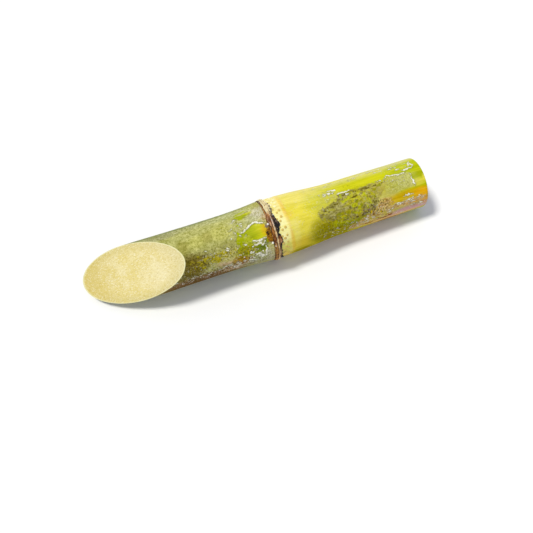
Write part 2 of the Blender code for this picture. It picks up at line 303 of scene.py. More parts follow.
# Patches drawn on the rind. Each point is a height in mm and an angle in degrees, counted from the
# underside: 90 is the far side, 180 the top, and 270 the near side.
patches = {
    "bare": [  # where the waxy bloom has come off and the green rind shines
        [(-24.3, 200), (-23.2, 197.5), (-22.2, 201), (-20.3, 202.5), (-18.2, 199), (-15.5, 196.5),
         (-13.6, 193.4), (-11.7, 191.7), (-10, 192), (-8.3, 195), (-7, 197.2), (-5.5, 197.5), (-4.6, 202),
         (-3.6, 208), (-4.2, 213), (-5.6, 220), (-7.7, 222), (-10, 223.4), (-12.4, 223.2), (-14.7, 221),
         (-14.9, 215), (-17, 211.2), (-19.4, 208.4), (-20.8, 212), (-20.8, 217), (-22.3, 224.5),
         (-25.3, 224), (-26.4, 216), (-25, 210), (-23.6, 205), (-24.4, 202.5)],
        [(-22.6, 166.5), (-19.5, 163.2), (-14.8, 163), (-11, 162.5), (-8.8, 165.3), (-13, 169),
         (-16, 171.8), (-17.8, 175.4), (-19.6, 175.4), (-20.6, 171), (-21.6, 168.3)],
        [(-21.6, 159), (-18, 156.2), (-13.3, 153.2), (-13.3, 156.2), (-17, 159.3), (-20.6, 161.8)],
        [(-22.8, 184.4), (-21.5, 182.8), (-20.3, 184), (-20.6, 187), (-22.4, 187.4)],
        [(-27, 233), (-25.5, 228), (-23, 226), (-20, 226.5), (-17.6, 224), (-15.6, 226), (-14.4, 231),
         (-12, 233.6), (-10.4, 231.6), (-9.6, 236.4), (-8.2, 236), (-6.4, 241), (-6.8, 247), (-9, 249.6),
         (-11, 247.6), (-13, 250), (-15.6, 249), (-18, 251), (-21, 247), (-24, 246), (-26.4, 241)],
        [(-33, 44), (-26, 30), (-18, 27), (-12, 34), (-6, 40), (-9, 52), (-14, 60), (-24, 57), (-30, 62)],
        [(-15, 66), (-10, 62), (-6, 70), (-9, 78), (-13, 75)],
        [(-70, 76), (-62, 70), (-55, 78), (-60, 88), (-67, 86)],
        [(-26, 330), (-19, 322), (-12, 326), (-9, 338), (-14, 348), (-20, 344), (-25, 351), (-28, 340)],
        [(-15, 112), (-12.4, 109), (-9, 109.6), (-5.6, 106.6), (-5, 109), (-8, 112.6), (-7, 115),
         (-11, 116.4), (-12.6, 114)],
    ],
    "soot": [  # the dark crust that grows over the wax
        [(30, 208), (35, 206), (41, 201.5), (46, 199), (48.6, 190), (48.8, 184.5), (52, 185), (55.5, 185),
         (58.3, 184), (64, 186), (70, 183), (77, 182), (81, 184), (84, 188), (83.5, 196), (81, 204),
         (78.5, 210), (76, 218), (74, 230), (71, 239), (65, 247), (57, 249), (51, 245), (45, 239),
         (39, 233), (33, 222)],
        [(26, 60), (40, 48), (58, 52), (70, 66), (66, 84), (52, 96), (40, 88), (30, 92), (23, 76)],
        [(-58, 330), (-46, 320), (-34, 326), (-28, 338), (-40, 350), (-52, 344), (-58, 352)],
        [(-50, 100), (-38, 92), (-32, 102), (-40, 112), (-48, 110)],
    ],
    "husk": [  # dried brown skin under the leaf scar
        [(-1.6, 184), (-2.8, 189), (-3.4, 194), (-3.6, 199), (-3.4, 204), (-3.8, 208), (-5.2, 211.5),
         (-5.9, 215), (-5.8, 220), (-6.2, 226), (-6.4, 231), (-5.2, 234), (-3.0, 238), (-1.6, 241)],
        [(-1.8, 20), (-3.6, 26), (-4.4, 38), (-3.4, 50), (-1.8, 56)],
        [(-1.8, 300), (-3.4, 306), (-3.8, 318), (-3, 326), (-1.8, 332)],
    ],
    "film": [  # a sheet of pale wax with a torn edge
        [(80, 190), (83.4, 182), (86, 176.2), (88.3, 179.6), (90.8, 180.4), (94.6, 183), (97, 182.4),
         (99.8, 181.8), (101.8, 185.6), (102.4, 194), (101.8, 200.5), (103, 206), (101.8, 210), (103, 217),
         (98.5, 218), (92, 219), (86, 222), (81, 214)],
        [(72, 96), (80, 86), (92, 90), (102, 98), (101, 112), (92, 118), (84, 112), (76, 116)],
        [(20, 316), (30, 308), (44, 314), (48, 330), (36, 338), (24, 334)],
    ],
    "scurf": [  # beige flaky scurf along the lower near side
        [(52, 268), (58, 260), (64, 252), (70, 240), (75, 227), (79, 221), (84, 226), (84, 241), (88, 243),
         (94, 241), (101, 242), (107, 243), (108.5, 250), (104, 257), (94, 257), (88, 261), (84, 267),
         (77, 268), (70, 274), (62, 282), (52, 282)],
        [(12, 304), (24, 296), (40, 300), (56, 294), (70, 306), (96, 300), (98, 326), (76, 336), (58, 330),
         (36, 340), (20, 326)],
    ],
}

# Curled white wax along torn edges, its white partly painted highlight: the points of each curl, under its
# half width at the middle in mm
curls = {
    0.3: [
        [(44.6, 179.4), (45.6, 178), (46.6, 178.8)],
        [(101.6, 186), (102.3, 190), (102.2, 195), (101.6, 200)],
    ],
    0.32: [
        [(-20.2, 183), (-19.7, 184.8), (-20.1, 187), (-19.2, 188.4)],
        [(86.4, 250), (88.4, 247.4), (91, 246.6), (93.4, 244.6)],
    ],
    0.34: [
        [(-12.6, 227.6), (-11.2, 226.6), (-9.4, 228)], [(-25.2, 196), (-24.8, 199.4), (-25.4, 202)],
        [(-13.2, 254.5), (-11.9, 253.6), (-11.2, 256), (-12.4, 257.4)],
        [(-11.6, 261), (-10.3, 259.6), (-8.9, 260.6)],
        [(-20.4, 269), (-18.4, 268), (-16.6, 269.6), (-14.6, 269)],
        [(-37, 261), (-35.6, 259.8), (-34.6, 262.4)], [(42.6, 171), (44.4, 169.4), (46.6, 169.4)],
        [(56, 189.4), (55.6, 192.4), (56.2, 195)], [(93.6, 246), (96, 243.4), (98.6, 243), (100.6, 240.4)],
        [(-7.8, 238), (-7.6, 244), (-7.9, 250), (-7.7, 257)],
    ],
    0.36: [
        [(-24.6, 175.4), (-24, 175)], [(-19.8, 257), (-18.4, 255.6), (-17.3, 257.4), (-16.2, 260)],
        [(-34, 226), (-32.8, 224.8), (-32.2, 228), (-32.9, 231.6)],
        [(93, 233.4), (94.6, 231.8), (96.4, 233.6), (98, 232), (100, 233.4)],
        [(99.6, 257), (101, 259.4), (101.4, 262.6)],
    ],
    0.4: [
        [(-18.9, 245.6), (-18.2, 243.2), (-16.6, 243.4), (-16.2, 245.6), (-17.8, 246.8), (-18.9, 245.6)],
        [(-20.4, 263), (-18.6, 261.6), (-17.2, 264), (-15.6, 268)],
        [(-20, 184), (-19.2, 182.8), (-18.6, 184.6)], [(54, 187), (54.8, 189.6), (54.2, 192)],
        [(78.2, 184), (79.4, 182.8), (80.8, 183.6)], [(101, 168.6), (102.4, 167)],
        [(94, 230), (95.4, 231.6), (97, 230.4), (98.4, 232)], [(98, 259.6), (99.6, 262)],
        [(-34.6, 258.6), (-33, 259.6), (-31.8, 258)], [(-18.9, 207.4), (-18.2, 208.8)],
        [(-21.2, 225.4), (-20.4, 227)],
    ],
    0.42: [
        [(39, 177), (40.4, 175.4), (42, 175.6), (43.6, 174.6)],
        [(96, 243.6), (98.4, 246), (99.6, 250), (101.4, 251.4)],
        [(102, 243.6), (104.2, 244.6), (105.8, 242.8)], [(103, 100), (102.6, 106), (103.2, 112)],
        [(-22.7, 204.6), (-22.2, 206.4)], [(-16.8, 233), (-16, 234.6)],
        [(94, 169), (95.6, 168), (97, 168.6)], [(104, 261.6), (105.4, 259.8), (106.6, 261)],
        [(76, 146), (78, 144.6), (80, 146)], [(83.6, 147), (85, 146)],
    ],
    0.45: [
        [(-8.2, 246), (-8.4, 252), (-8.1, 258), (-8.4, 263)], [(86.6, 246), (88.6, 243.6), (90.4, 244.6)],
        [(-33.4, 223), (-32.4, 221.6), (-31.6, 224)], [(-14, 30), (-10, 34), (-5, 38), (-4, 44)],
        [(-16, 349), (-12, 345), (-9, 341)], [(20, 312), (28, 305), (36, 307), (42, 311)],
        [(-66, 68), (-60, 67), (-54, 72)],
    ],
    0.46: [
        [(83, 182.6), (84.4, 180.6), (85.6, 176.6), (86.8, 176), (88.2, 179.6), (90, 180.2), (91.4, 180),
         (93, 182.2), (94.8, 183), (97, 182.2), (99.6, 181.8)],
        [(51.8, 184.6), (53.4, 183.6), (55.2, 184.4), (56.6, 183)],
    ],
    0.48: [
        [(101.8, 200.5), (102.9, 205.4), (101.9, 209.6), (103, 213), (102.6, 217)],
    ],
    0.5: [
        [(-15.2, 222.6), (-12.5, 225), (-10, 224.8), (-8, 223.3), (-6.8, 223.8)],
        [(-15.6, 255.5), (-14.4, 252.6), (-13, 250.8), (-11.6, 251.4)],
        [(-13.6, 259), (-12.2, 256.8), (-10.6, 258), (-9.8, 261), (-11.4, 262.6)],
        [(-23.8, 172.4), (-22.8, 171), (-21.8, 171.2)], [(-26.8, 188.6), (-25.8, 188)],
        [(-22.4, 207), (-21.8, 207.6)], [(48.6, 184.6), (50.2, 182.8), (52, 183), (53.4, 182.4)],
        [(82, 188), (82.8, 187.4)], [(94.6, 167.6), (96, 167)], [(83.2, 254), (84.6, 252.4)],
        [(-47, 213.4), (-46, 214.6)], [(-26, 243), (-24.8, 244)],
        [(-34, 58), (-28, 64), (-20, 60), (-14, 64)], [(-27, 322), (-20, 318), (-12, 321), (-8, 330)],
        [(71, 98), (78, 86), (86, 85), (94, 88)], [(-10.6, 247), (-10, 250)],
        [(-23.6, 250.4), (-22.9, 251.6)], [(39.6, 179), (41.4, 178.4), (43.4, 177), (45.6, 176)],
        [(99, 177), (100.6, 175.4), (102.2, 175.6), (103.8, 173.4)],
        [(106.4, 153), (105.6, 158), (106.2, 163), (107.2, 168), (106.4, 172)],
    ],
    0.55: [
        [(98, 175.4), (99.6, 174.4), (101.2, 174.8), (102.8, 173.4), (104.8, 174.6), (105.6, 172)],
        [(106.2, 262.6), (107.4, 262)], [(90, 160.4), (91, 159.6), (91.6, 161)],
    ],
    0.6: [
        [(92, 156.4), (93.2, 156)], [(103.8, 168), (104.9, 165), (104.6, 160), (105.8, 156)],
    ],
    0.62: [
        [(-21.4, 201.6), (-19.6, 201), (-16.9, 196.6), (-14.6, 193), (-12.6, 190.7), (-10.6, 189.6),
         (-8.6, 192.4), (-6.8, 195), (-5.7, 196.2)],
        [(-15.6, 227.5), (-14.6, 231.5), (-13.6, 232.4), (-12.1, 230.3), (-10.6, 230.6), (-9.8, 236),
         (-8.6, 233), (-7.6, 228)],
    ],
    0.7: [
        [(-3.4, 236.6), (-2.8, 237)],
    ],
    0.8: [
        [(46.2, 172.4), (47.2, 171.6), (48.2, 172)],
    ],
}

# Crisp coloured spots: height, angle, half length and half angle, under their tone
spots = {
    "acid": [
        (50.4, 203.6, 1.3, 3.2), (52.8, 201.6, 1.5, 3.6), (55.0, 199.6, 1.1, 3.2), (48.5, 233, 2.4, 3.0),
        (57.6, 234.5, 1.4, 3.6), (57.5, 217, 2.2, 5.0), (60.6, 226, 1.4, 5.0), (60, 236, 1.8, 2.6),
        (66.0, 202, 0.8, 4.6), (67.2, 210, 0.6, 5.6), (68.8, 219, 0.6, 6.2), (66.4, 230, 0.6, 5.0),
        (71.0, 206, 0.7, 4.0), (76, 183, 1.6, 2.4),
    ],
    "green": [
        (50.2, 190, 0.8, 6.0),
    ],
    "moss": [
        (46.5, 226, 3.2, 3.2), (52.5, 228, 2.6, 4.0), (49, 239, 3.4, 2.6), (56, 232, 2.0, 2.4),
        (59.6, 211, 1.2, 4.0), (62.5, 222, 1.0, 5.0), (72.8, 212, 0.7, 5.0), (74, 198, 1.4, 3.0),
        (78.2, 192, 1.6, 3.0), (53.5, 255, 5.0, 4.6), (59, 252, 3.0, 3.2), (46, 252, 2.4, 2.2),
        (-6.2, 230, 0.7, 5.0),
    ],
    "gold": [
        (68.6, 244, 0.8, 4.4), (75.6, 253, 0.9, 3.0),
    ],
    "rust": [
        (70.2, 253, 1.0, 1.6), (82.6, 272, 2.2, 3.0), (-24.2, 266, 1.5, 1.6),
    ],
    "char": [
        (59.2, 244.6, 2.4, 1.3), (63.2, 243.0, 2.2, 1.2), (65.4, 240.6, 1.2, 1.6), (-4.8, 214.5, 0.8, 2.6),
        (-4.5, 218.5, 0.6, 2.0),
    ],
    "stain": [
        (61.6, 240, 1.2, 1.2), (67.4, 236.5, 2.2, 2.6), (71, 234, 1.8, 2.0), (62.6, 233.6, 1.1, 2.4),
        (-3.8, 203.6, 1.5, 3.6),
    ],
    "darkOlive": [
        (44.6, 204, 1.9, 1.1), (41.6, 208, 1.9, 1.5), (37.4, 211, 1.5, 1.4), (54.4, 219, 1.6, 0.9),
        (57.6, 222.6, 1.2, 0.9), (69.8, 230, 0.9, 1.4), (72, 222, 1.2, 1.2), (66, 188.4, 2.4, 1.4),
        (60, 189.4, 1.8, 1.4), (59, 200, 2.2, 2.0), (53.2, 189.6, 1.6, 1.6), (70, 191, 1.6, 2.0),
        (75.6, 190, 1.6, 1.4), (80.6, 190, 1.2, 1.2), (57.6, 170, 1.6, 0.9), (-58.6, 226, 1.2, 3.0),
        (-57.6, 238, 1.0, 2.2), (-53, 243, 1.4, 1.6),
    ],
    "amberBrown": [
        (78, 275, 3.4, 2.2), (67.5, 278, 3.4, 3.0), (-25.6, 250, 0.8, 2.6), (-22.8, 255, 0.9, 2.0),
        (-26, 259, 1.4, 1.8), (-22, 263, 1.9, 1.8), (-18.6, 258.5, 1.2, 1.4), (-28.6, 246, 0.8, 1.6),
        (-2.7, 160, 0.6, 1.6),
    ],
    "oliveGold": [
        (-50.3, 245.7, 1.5, 3.6), (-54, 231, 0.8, 2.2), (-52.2, 221, 0.7, 1.8), (-47, 228, 1.2, 1.8),
        (-43.4, 233, 1.7, 2.4), (-38.6, 234, 1.3, 2.6), (-36.2, 227, 1.3, 2.2), (-33.6, 229, 0.9, 3.4),
        (-41, 242, 2.0, 2.0), (-24.4, 241, 0.8, 2.4), (-27.5, 230, 0.9, 2.0),
    ],
    "bark": [
        (-35, 265.5, 2.6, 2.2), (-30.6, 262, 1.0, 1.4),
    ],
}

tones = {
    "moss": "#8C8E10", "acid": "#BABE1E", "green": "#A9B400", "leafGreen": "#B9C200",
    "deepGreen": "#66780A", "chartreuse": "#D0CE18", "lime": "#B9C010", "yellowGreen": "#D2CE3E",
    "lemon": "#EBDC4E", "cream": "#F5E79A", "paleCream": "#FFF8B4", "amber": "#F0C850", "gold": "#DAB410",
    "deepGold": "#F0B010", "oliveGold": "#ABA016", "olive": "#968E06", "oliveShade": "#8C8004",
    "darkOlive": "#685E1C", "rust": "#86400C", "rustGold": "#9C6C12", "amberBrown": "#96600E",
    "orange": "#E6A452", "mauve": "#D2A0A6", "beige": "#D9D490", "sage": "#BAB872", "paleSage": "#BEC08A",
    "yellowSage": "#BEBB62", "cloudSage": "#A39E4E", "hazeOlive": "#94904A", "greySage": "#A8A67C",
    "blueSage": "#97A074", "edgeSage": "#7C8460", "slate": "#7A8258", "ash": "#CBC5A4", "bark": "#80603F",
    "pinkBark": "#C2A47C", "palePink": "#DCAA88", "umber": "#5E4428", "sooty": "#6E5E22",
    "stain": "#86725E", "char": "#3A2A10", "straw": "#D0C66E", "mustard": "#B48E14", "drySkin": "#E2B870",
}
rindBase = [  # height and tone of the bare rind
    (-140, "moss"), (-40, "moss"), (-24, "green"), (-15, "green"), (-8, "chartreuse"), (-4, "gold"),
    (1, "cream"), (8.8, "cream"), (12, "lemon"), (24, "lemon"), (38, "yellowGreen"), (56, "chartreuse"),
    (80, "chartreuse"), (94, "leafGreen"), (111, "leafGreen"),
]
rindStrokes = [  # height, angle, half length, half angle, tone and strength
    (-12, 241, 6, 8, "deepGreen", 1), (-20, 237, 7, 10, "moss", 1), (-17, 215, 6, 8, "green", 0.6),
    (6, 238, 5, 28, "lemon", 0.6), (6, 258, 5, 20, "yellowGreen", 0.5), (-5.5, 209, 3.2, 10, "gold", 0.75),
    (5, 246, 3, 7, "lime", 0.5), (5, 284, 6, 16, "gold", 0.6), (10.3, 160, 1.4, 34, "amber", 0.8),
    (10.5, 200, 1.3, 30, "amber", 0.75), (12.5, 196, 3, 7, "amber", 0.5), (15, 214, 4, 8, "cream", 0.3),
    # the paleCream stroke at height 5 lightens the near side of the band under the growth ring as painted
    # light
    (5, 218, 6, 32, "paleCream", 1), (14.5, 238, 2.6, 30, "paleCream", 0.2),
    (11, 254, 1.3, 32, "amber", 0.75), (30, 184, 8, 20, "lime", 0.3), (34, 172, 8, 8, "lime", 0.25),
    # oliveShade strokes low on the near side, from 272 to 302 degrees, are partly the rind's darker olive
    # and partly painted shade
    (18, 262, 7, 18, "gold", 0.5), (17, 286, 9, 16, "oliveShade", 0.9), (34, 260, 12, 31, "olive", 0.95),
    (30, 234, 6, 12, "oliveGold", 0.7), (44, 238, 12, 30, "olive", 0.9), (56, 254, 14, 30, "olive", 0.9),
    (47, 244, 7, 10, "lime", 0.7), (80, 220, 10, 14, "straw", 0.85), (80, 236, 8, 10, "drySkin", 0.8),
    (97, 250, 13, 8, "drySkin", 0.9), (44, 272, 16, 18, "oliveShade", 0.7), (54, 248, 6, 7, "lime", 0.6),
    # the cream and beige strokes along the upper outline, 134 to 158 degrees, are partly the rind's pale
    # colour and partly painted sheen
    (60, 138, 46, 12, "cream", 0.45), (68, 150, 36, 12, "beige", 0.4), (24, 134, 22, 14, "cream", 0.6),
    (22, 158, 18, 26, "cream", 0.35), (94, 136, 26, 12, "beige", 0.85), (107, 194, 5, 8, "moss", 0.4),
    (105, 211, 6, 8, "lemon", 0.8), (98, 214, 9, 6, "yellowGreen", 0.6), (96, 231, 15, 11, "gold", 1),
    (88, 238, 8, 9, "gold", 0.6), (107, 236, 7, 13, "deepGold", 0.95), (101, 250, 9, 8, "orange", 0.9),
    # the lemon stroke at height 111 is a painted highlight along the rounded end's edge
    (109, 259, 4.5, 12, "orange", 0.95), (98, 274, 18, 15, "mauve", 1), (111, 206, 1.6, 9, "lemon", 0.9),
    (82, 281, 20, 11, "palePink", 0.7), (60, 20, 40, 50, "gold", 0.5), (96, 20, 24, 50, "mauve", 0.6),
    (90, 60, 30, 40, "lime", 0.7), (30, 90, 26, 40, "yellowGreen", 0.7), (74, 302, 26, 12, "rustGold", 0.9),
    (84, 293, 10, 6, "rust", 0.8), (40, 302, 28, 18, "oliveShade", 0.9), (-60, 20, 60, 60, "olive", 0.7),
]
bloomStrokes = [  # the waxy bloom's tone and cover, over the rind
    (-70, 180, 120, 190, "sage", 0.95), (-62, 150, 60, 10, "paleSage", 0.5),
    (-62, 134, 66, 10, "blueSage", 0.9), (-62, 112, 66, 26, "hazeOlive", 0.5),
    (-62, 122, 66, 11, "edgeSage", 0.75), (-70, 84, 20, 16, "bark", 0.35),
    (-40, 70, 26, 14, "paleSage", 0.5), (-86, 30, 26, 26, "sooty", 0.5),
    (-30, 350, 20, 22, "paleSage", 0.5), (-26, 152, 16, 10, "paleSage", 0.75),
    (-74, 152, 16, 12, "greySage", 0.6), (-50, 192, 8, 14, "yellowSage", 0.7),
    (-34, 188, 8, 18, "yellowSage", 0.8), (-43, 188, 3.4, 13, "cloudSage", 0.8),
    (-60, 196, 4.5, 18, "cloudSage", 0.9), (-46, 215, 16, 8, "cloudSage", 0.3),
    (-30, 214, 10, 8, "cloudSage", 0.5), (-17, 218, 6, 8, "lime", 0.9), (-55, 232, 13, 17, "sooty", 0.95),
    (-40, 234, 11, 12, "cloudSage", 0.6), (-33, 252, 9, 8, "pinkBark", 0.9),
    # the bark and umber strokes along the lowest near side, 276 to 290 degrees, darken it: the bark partly
    # its own brown and partly painted shade, the umber painted shade
    (-33, 242, 6, 10, "beige", 0.7), (-64, 254, 12, 14, "sooty", 0.8), (-46, 276, 50, 14, "bark", 1),
    (-58, 290, 30, 12, "bark", 0.8), (-50, 289, 42, 8, "umber", 0.7), (-28, 272, 12, 10, "pinkBark", 0.85),
    (-16, 276, 10, 12, "greySage", 0.8), (-8, 286, 12, 16, "greySage", 0.8), (-24, 238, 7, 12, "moss", 0.8),
    (-30, 246, 6, 6, "straw", 0.6), (-31, 231, 7, 8, "straw", 0.6), (-58, 216, 5, 8, "sooty", 0.5),
    (-56, 250, 8, 12, "sooty", 0.7), (-13, 262, 7, 12, "paleSage", 0.9), (-25.5, 255, 6, 8, "mustard", 1),
    (-4.5, 170, 6, 16, "ash", 0.95), (-9, 178, 5, 10, "ash", 0.85), (-13, 182, 5, 8, "paleSage", 0.7),
    (-4.4, 150, 4, 12, "cloudSage", 0.7), (-3.6, 186, 2.2, 8, "pinkBark", 0.7),
    (-6.4, 231, 2.8, 7, "slate", 0.95), (-5.4, 262, 3.4, 20, "ash", 0.6),
    (-80, 60, 60, 60, "pinkBark", 0.4), (-10, 90, 14, 40, "ash", 0.6),
]
sprays = {  # where each effect lies: height, angle, half length, half angle and strength
    "haze": [  # a thin haze of wax with no edge
        (43, 188, 8, 13, 0.95), (37, 200, 7, 9, 0.5), (46, 192, 4, 12, 0.3), (93, 190, 11, 12, 1),
        (98, 206, 9, 11, 0.75), (88, 208, 12, 14, 0.5), (30, 30, 40, 30, 0.4),
    ],
    # fleck: the white flecks drawn here are partly painted highlight, with painted shade beside them
    "fleck": [  # where thin torn curls of wax lie thick
        (-13, 260, 8, 12, 0.9), (-15, 238, 7, 8, 0.3), (-24, 190, 5, 22, 0.2), (-30, 266, 12, 9, 0.75),
        (-50, 268, 22, 9, 0.55), (42, 176, 7, 7, 0.8), (66, 150, 40, 8, 0.35), (98, 152, 13, 10, 0.3),
        (97, 249, 13, 8, 0.8), (98, 270, 14, 12, 0.7), (72, 262, 16, 12, 0.85), (50, 268, 18, 14, 0.4),
        (90, 186, 9, 8, 0.4), (30, 20, 60, 60, 0.35), (-30, 60, 40, 50, 0.4),
    ],
    "grit": [  # where the wax breaks into pale grains
        (-26, 190, 10, 22, 0.3), (-5, 174, 8, 22, 0.85), (-10, 266, 12, 12, 0.75), (-22, 246, 10, 16, 0.4),
        (-36, 226, 16, 12, 0.6), (-48, 250, 26, 16, 0.6), (-34, 272, 40, 13, 0.85), (41, 180, 10, 12, 0.6),
        (42, 256, 18, 22, 0.3), (60, 270, 10, 10, 0.8), (78, 140, 40, 10, 0.45), (26, 190, 22, 60, 0.3),
        (96, 160, 14, 12, 0.3), (96, 248, 16, 10, 0.3), (98, 272, 14, 12, 0.5), (74, 244, 10, 16, 0.6),
        (92, 200, 12, 14, 0.35), (40, 20, 60, 60, 0.35), (-40, 60, 40, 50, 0.4),
    ],
    "grime": [  # where dark dust lies in the pores
        (-56, 234, 14, 26, 1), (-38, 230, 22, 16, 0.8), (-22, 246, 10, 16, 0.75), (-13, 250, 8, 18, 0.6),
        (-7, 264, 7, 14, 0.6), (-14, 178, 14, 18, 0.3), (92, 204, 11, 16, 0.35), (-70, 150, 44, 12, 0.45),
        (-40, 270, 44, 16, 1), (44, 250, 18, 28, 0.6), (60, 212, 18, 32, 0.45), (72, 238, 12, 20, 1),
        (80, 270, 10, 14, 0.35), (62, 60, 60, 60, 0.3), (-40, 20, 60, 60, 0.4), (-3, 200, 3, 30, 0.5),
    ],
    "glint": [  # where yellow rind shows through in specks
        (-42, 234, 14, 11, 1), (-22, 242, 8, 14, 0.8), (-54, 236, 10, 16, 0.4), (54, 236, 16, 16, 0.8),
        (66, 206, 16, 18, 0.55), (88, 222, 10, 10, 0.3), (-40, 60, 40, 50, 0.4),
    ],
    "gloss": [  # where the rind keeps its polish
        (-12, 203, 12, 18, 1), (-15, 166, 9, 10, 1), (-12, 242, 6, 6, 0.5), (6, 175, 8, 34, 0.4),
        (62, 172, 54, 26, 0.3), (106, 190, 6, 34, 0.25), (40, 60, 70, 40, 0.5), (-60, 60, 60, 40, 0.3),
    ],
}


def patchDistance(z, angle, corners, closed):  # mm to the nearest side, whether inside, and the share along
    middle = corners[0][1]
    points = np.stack([z, turnFrom(angle, middle) * mmPerDegree], -1)
    ends = np.array([(height, turnFrom(turn, middle) * mmPerDegree) for height, turn in corners])
    starts, stops = (ends, np.roll(ends, -1, 0)) if closed else (ends[:-1], ends[1:])
    nearest = np.full(len(points), 1e9)
    along = np.zeros(len(points))
    inside = np.zeros(len(points), bool)
    for count, (start, stop) in enumerate(zip(starts, stops)):
        side = stop - start
        share = np.clip(((points - start) @ side) / max(side @ side, 1e-9), 0, 1)
        distance = np.hypot(*(points - start - share[:, None] * side).T)
        along = np.where(distance < nearest, (count + share) / len(starts), along)
        nearest = np.minimum(nearest, distance)
        crosses = (start[1] > points[:, 1]) != (stop[1] > points[:, 1])
        reach = start[0] + (points[:, 1] - start[1]) * side[0] / (side[1] if side[1] else 1e-9)
        inside ^= crosses & (points[:, 0] < reach)
    return nearest, inside, along


def nearPatch(z, angle, corners, margin):  # the points worth measuring
    heights, turns = np.array(corners, float).T
    around = turnFrom(turns, turns[0])
    away = turnFrom(angle, turns[0])
    spare = margin / mmPerDegree
    return (
        (z > heights.min() - margin) & (z < heights.max() + margin)
        & (away > around.min() - spare) & (away < around.max() + spare)
    )


def patchField(z, angle, name):  # mm inside the nearest patch, or outside it below 0
    field = np.full(len(z), -patchMargin)
    for corners in patches[name]:
        near = nearPatch(z, angle, corners, patchMargin)
        distance, inside, _ = patchDistance(z[near], angle[near], corners, True)
        field[near] = np.maximum(field[near], np.where(inside, distance, -distance))
    return field


def curlField(z, angle):  # mm inside a curl of wax, which narrows to its ends
    field = np.full(len(z), -curlMargin)
    for halfWidth, lines in curls.items():
        for corners in lines:
            near = nearPatch(z, angle, corners, curlMargin)
            distance, _, along = patchDistance(z[near], angle[near], corners, False)
            width = halfWidth * (0.55 + 0.45 * np.sin(np.pi * along))
            field[near] = np.maximum(field[near], width - distance)
    return field


def spotField(z, angle):  # mm inside the nearest spot, and that spot's colour
    field = np.full(len(z), -curlMargin)
    colours = np.tile(linear(tones["moss"]), (len(z), 1))
    for tone, places in spots.items():
        for height, turn, halfLength, halfAngle in places:
            away = np.hypot((z - height) / halfLength, turnFrom(angle, turn) / halfAngle)
            inside = (1 - away) * min(halfLength, halfAngle * mmPerDegree)
            near = inside > field
            field[near] = inside[near]
            colours[near] = linear(tones[tone])
    return field, colours


def strokeShare(z, angle, height, turn, halfLength, halfAngle, strength):
    away = np.hypot((z - height) / halfLength, turnFrom(angle, turn) / halfAngle)
    return strength * (1 - ease((away - brushCore) / brushFade))


def airbrush(z, angle, colour, strokes):  # soft coloured strokes over the colour, and how far they cover it
    cover = np.zeros(len(z))
    for height, turn, halfLength, halfAngle, tone, strength in strokes:
        share = strokeShare(z, angle, height, turn, halfLength, halfAngle, strength)
        colour = over(colour, tones[tone], share)
        cover = cover + (1 - cover) * share
    return colour, cover


def rindTones(z, angle):
    heights = [height for height, _ in rindBase]
    stops = np.array([linear(tones[tone]) for _, tone in rindBase])
    start = np.stack([np.interp(z, heights, stops[:, channel]) for channel in range(3)], -1)
    return airbrush(z, angle, start, rindStrokes)[0]


# Materials
tree = None  # the nodes of the material in hand


def newMaterial(name):  # the helpers below add their nodes to the newest material
    global tree
    material = bpy.data.materials.new(name)
    material.use_nodes = True
    tree = material.node_tree
    return material, tree.nodes["Principled BSDF"]


def feed(socket, value):  # value is a socket, a number, a linear colour or a "#RRGGBB" code
    if isinstance(value, bpy.types.NodeSocket):
        tree.links.new(value, socket)
        return
    if isinstance(value, str):
        value = linear(value)
    socket.default_value = (*value, 1) if socket.type == "RGBA" else value


def calc(operation, *values):
    node = tree.nodes.new("ShaderNodeMath")
    node.operation = operation
    for socket, value in zip(node.inputs, values):
        feed(socket, value)
    return node.outputs[0]


def times(a, b):
    return calc("MULTIPLY", a, b)


def spread(value, low, high, toLow=0.0, toHigh=1.0):
    node = tree.nodes.new("ShaderNodeMapRange")
    node.interpolation_type = "SMOOTHSTEP"
    feed(node.inputs["Value"], value)
    for name, number in (("From Min", low), ("From Max", high), ("To Min", toLow), ("To Max", toHigh)):
        feed(node.inputs[name], number)
    return node.outputs["Result"]


def blend(share, a, b, how="MIX"):
    node = tree.nodes.new("ShaderNodeMix")
    node.data_type = "RGBA"
    node.blend_type = how
    feed(node.inputs[0], share)
    feed(node.inputs[6], a)
    feed(node.inputs[7], b)
    return node.outputs[2]


def tint(colour, value, low, high, share, tone, how="MIX"):  # a tone laid on from low to high
    return blend(spread(value, low, high, 0.0, share), colour, tone, how)


def attribute(name, output="Fac"):  # a value or colour kept on the mesh
    node = tree.nodes.new("ShaderNodeAttribute")
    node.attribute_name = name
    return node.outputs[output]


def grownPlace(stretch=(1, 1, 1)):  # the upright place in mm, stretched along x, y and z
    coordinates = tree.nodes.new("ShaderNodeTexCoord")
    upright = tree.nodes.new("ShaderNodeMapping")
    upright.vector_type = "TEXTURE"
    upright.inputs["Location"].default_value = scar
    upright.inputs["Rotation"].default_value = (0, math.radians(90) + lean, 0)
    upright.inputs["Scale"].default_value = (mm, mm, mm)
    tree.links.new(coordinates.outputs["Object"], upright.inputs["Vector"])
    stretched = tree.nodes.new("ShaderNodeVectorMath")
    stretched.operation = "MULTIPLY"
    tree.links.new(upright.outputs["Vector"], stretched.inputs[0])
    stretched.inputs[1].default_value = stretch
    return stretched.outputs[0]


def grownHeight(place):  # height above the leaf scar, in mm
    split = tree.nodes.new("ShaderNodeSeparateXYZ")
    tree.links.new(place, split.inputs[0])
    return split.outputs["Z"]


def mottle(place, size, detail, rough, seed):  # noise from 0 to 1, with spots of size mm
    node = tree.nodes.new("ShaderNodeTexNoise")
    node.noise_dimensions = "4D"
    tree.links.new(place, node.inputs["Vector"])
    node.inputs["W"].default_value = seed
    node.inputs["Scale"].default_value = 1 / size
    node.inputs["Detail"].default_value = detail
    node.inputs["Roughness"].default_value = rough
    return node.outputs[0]


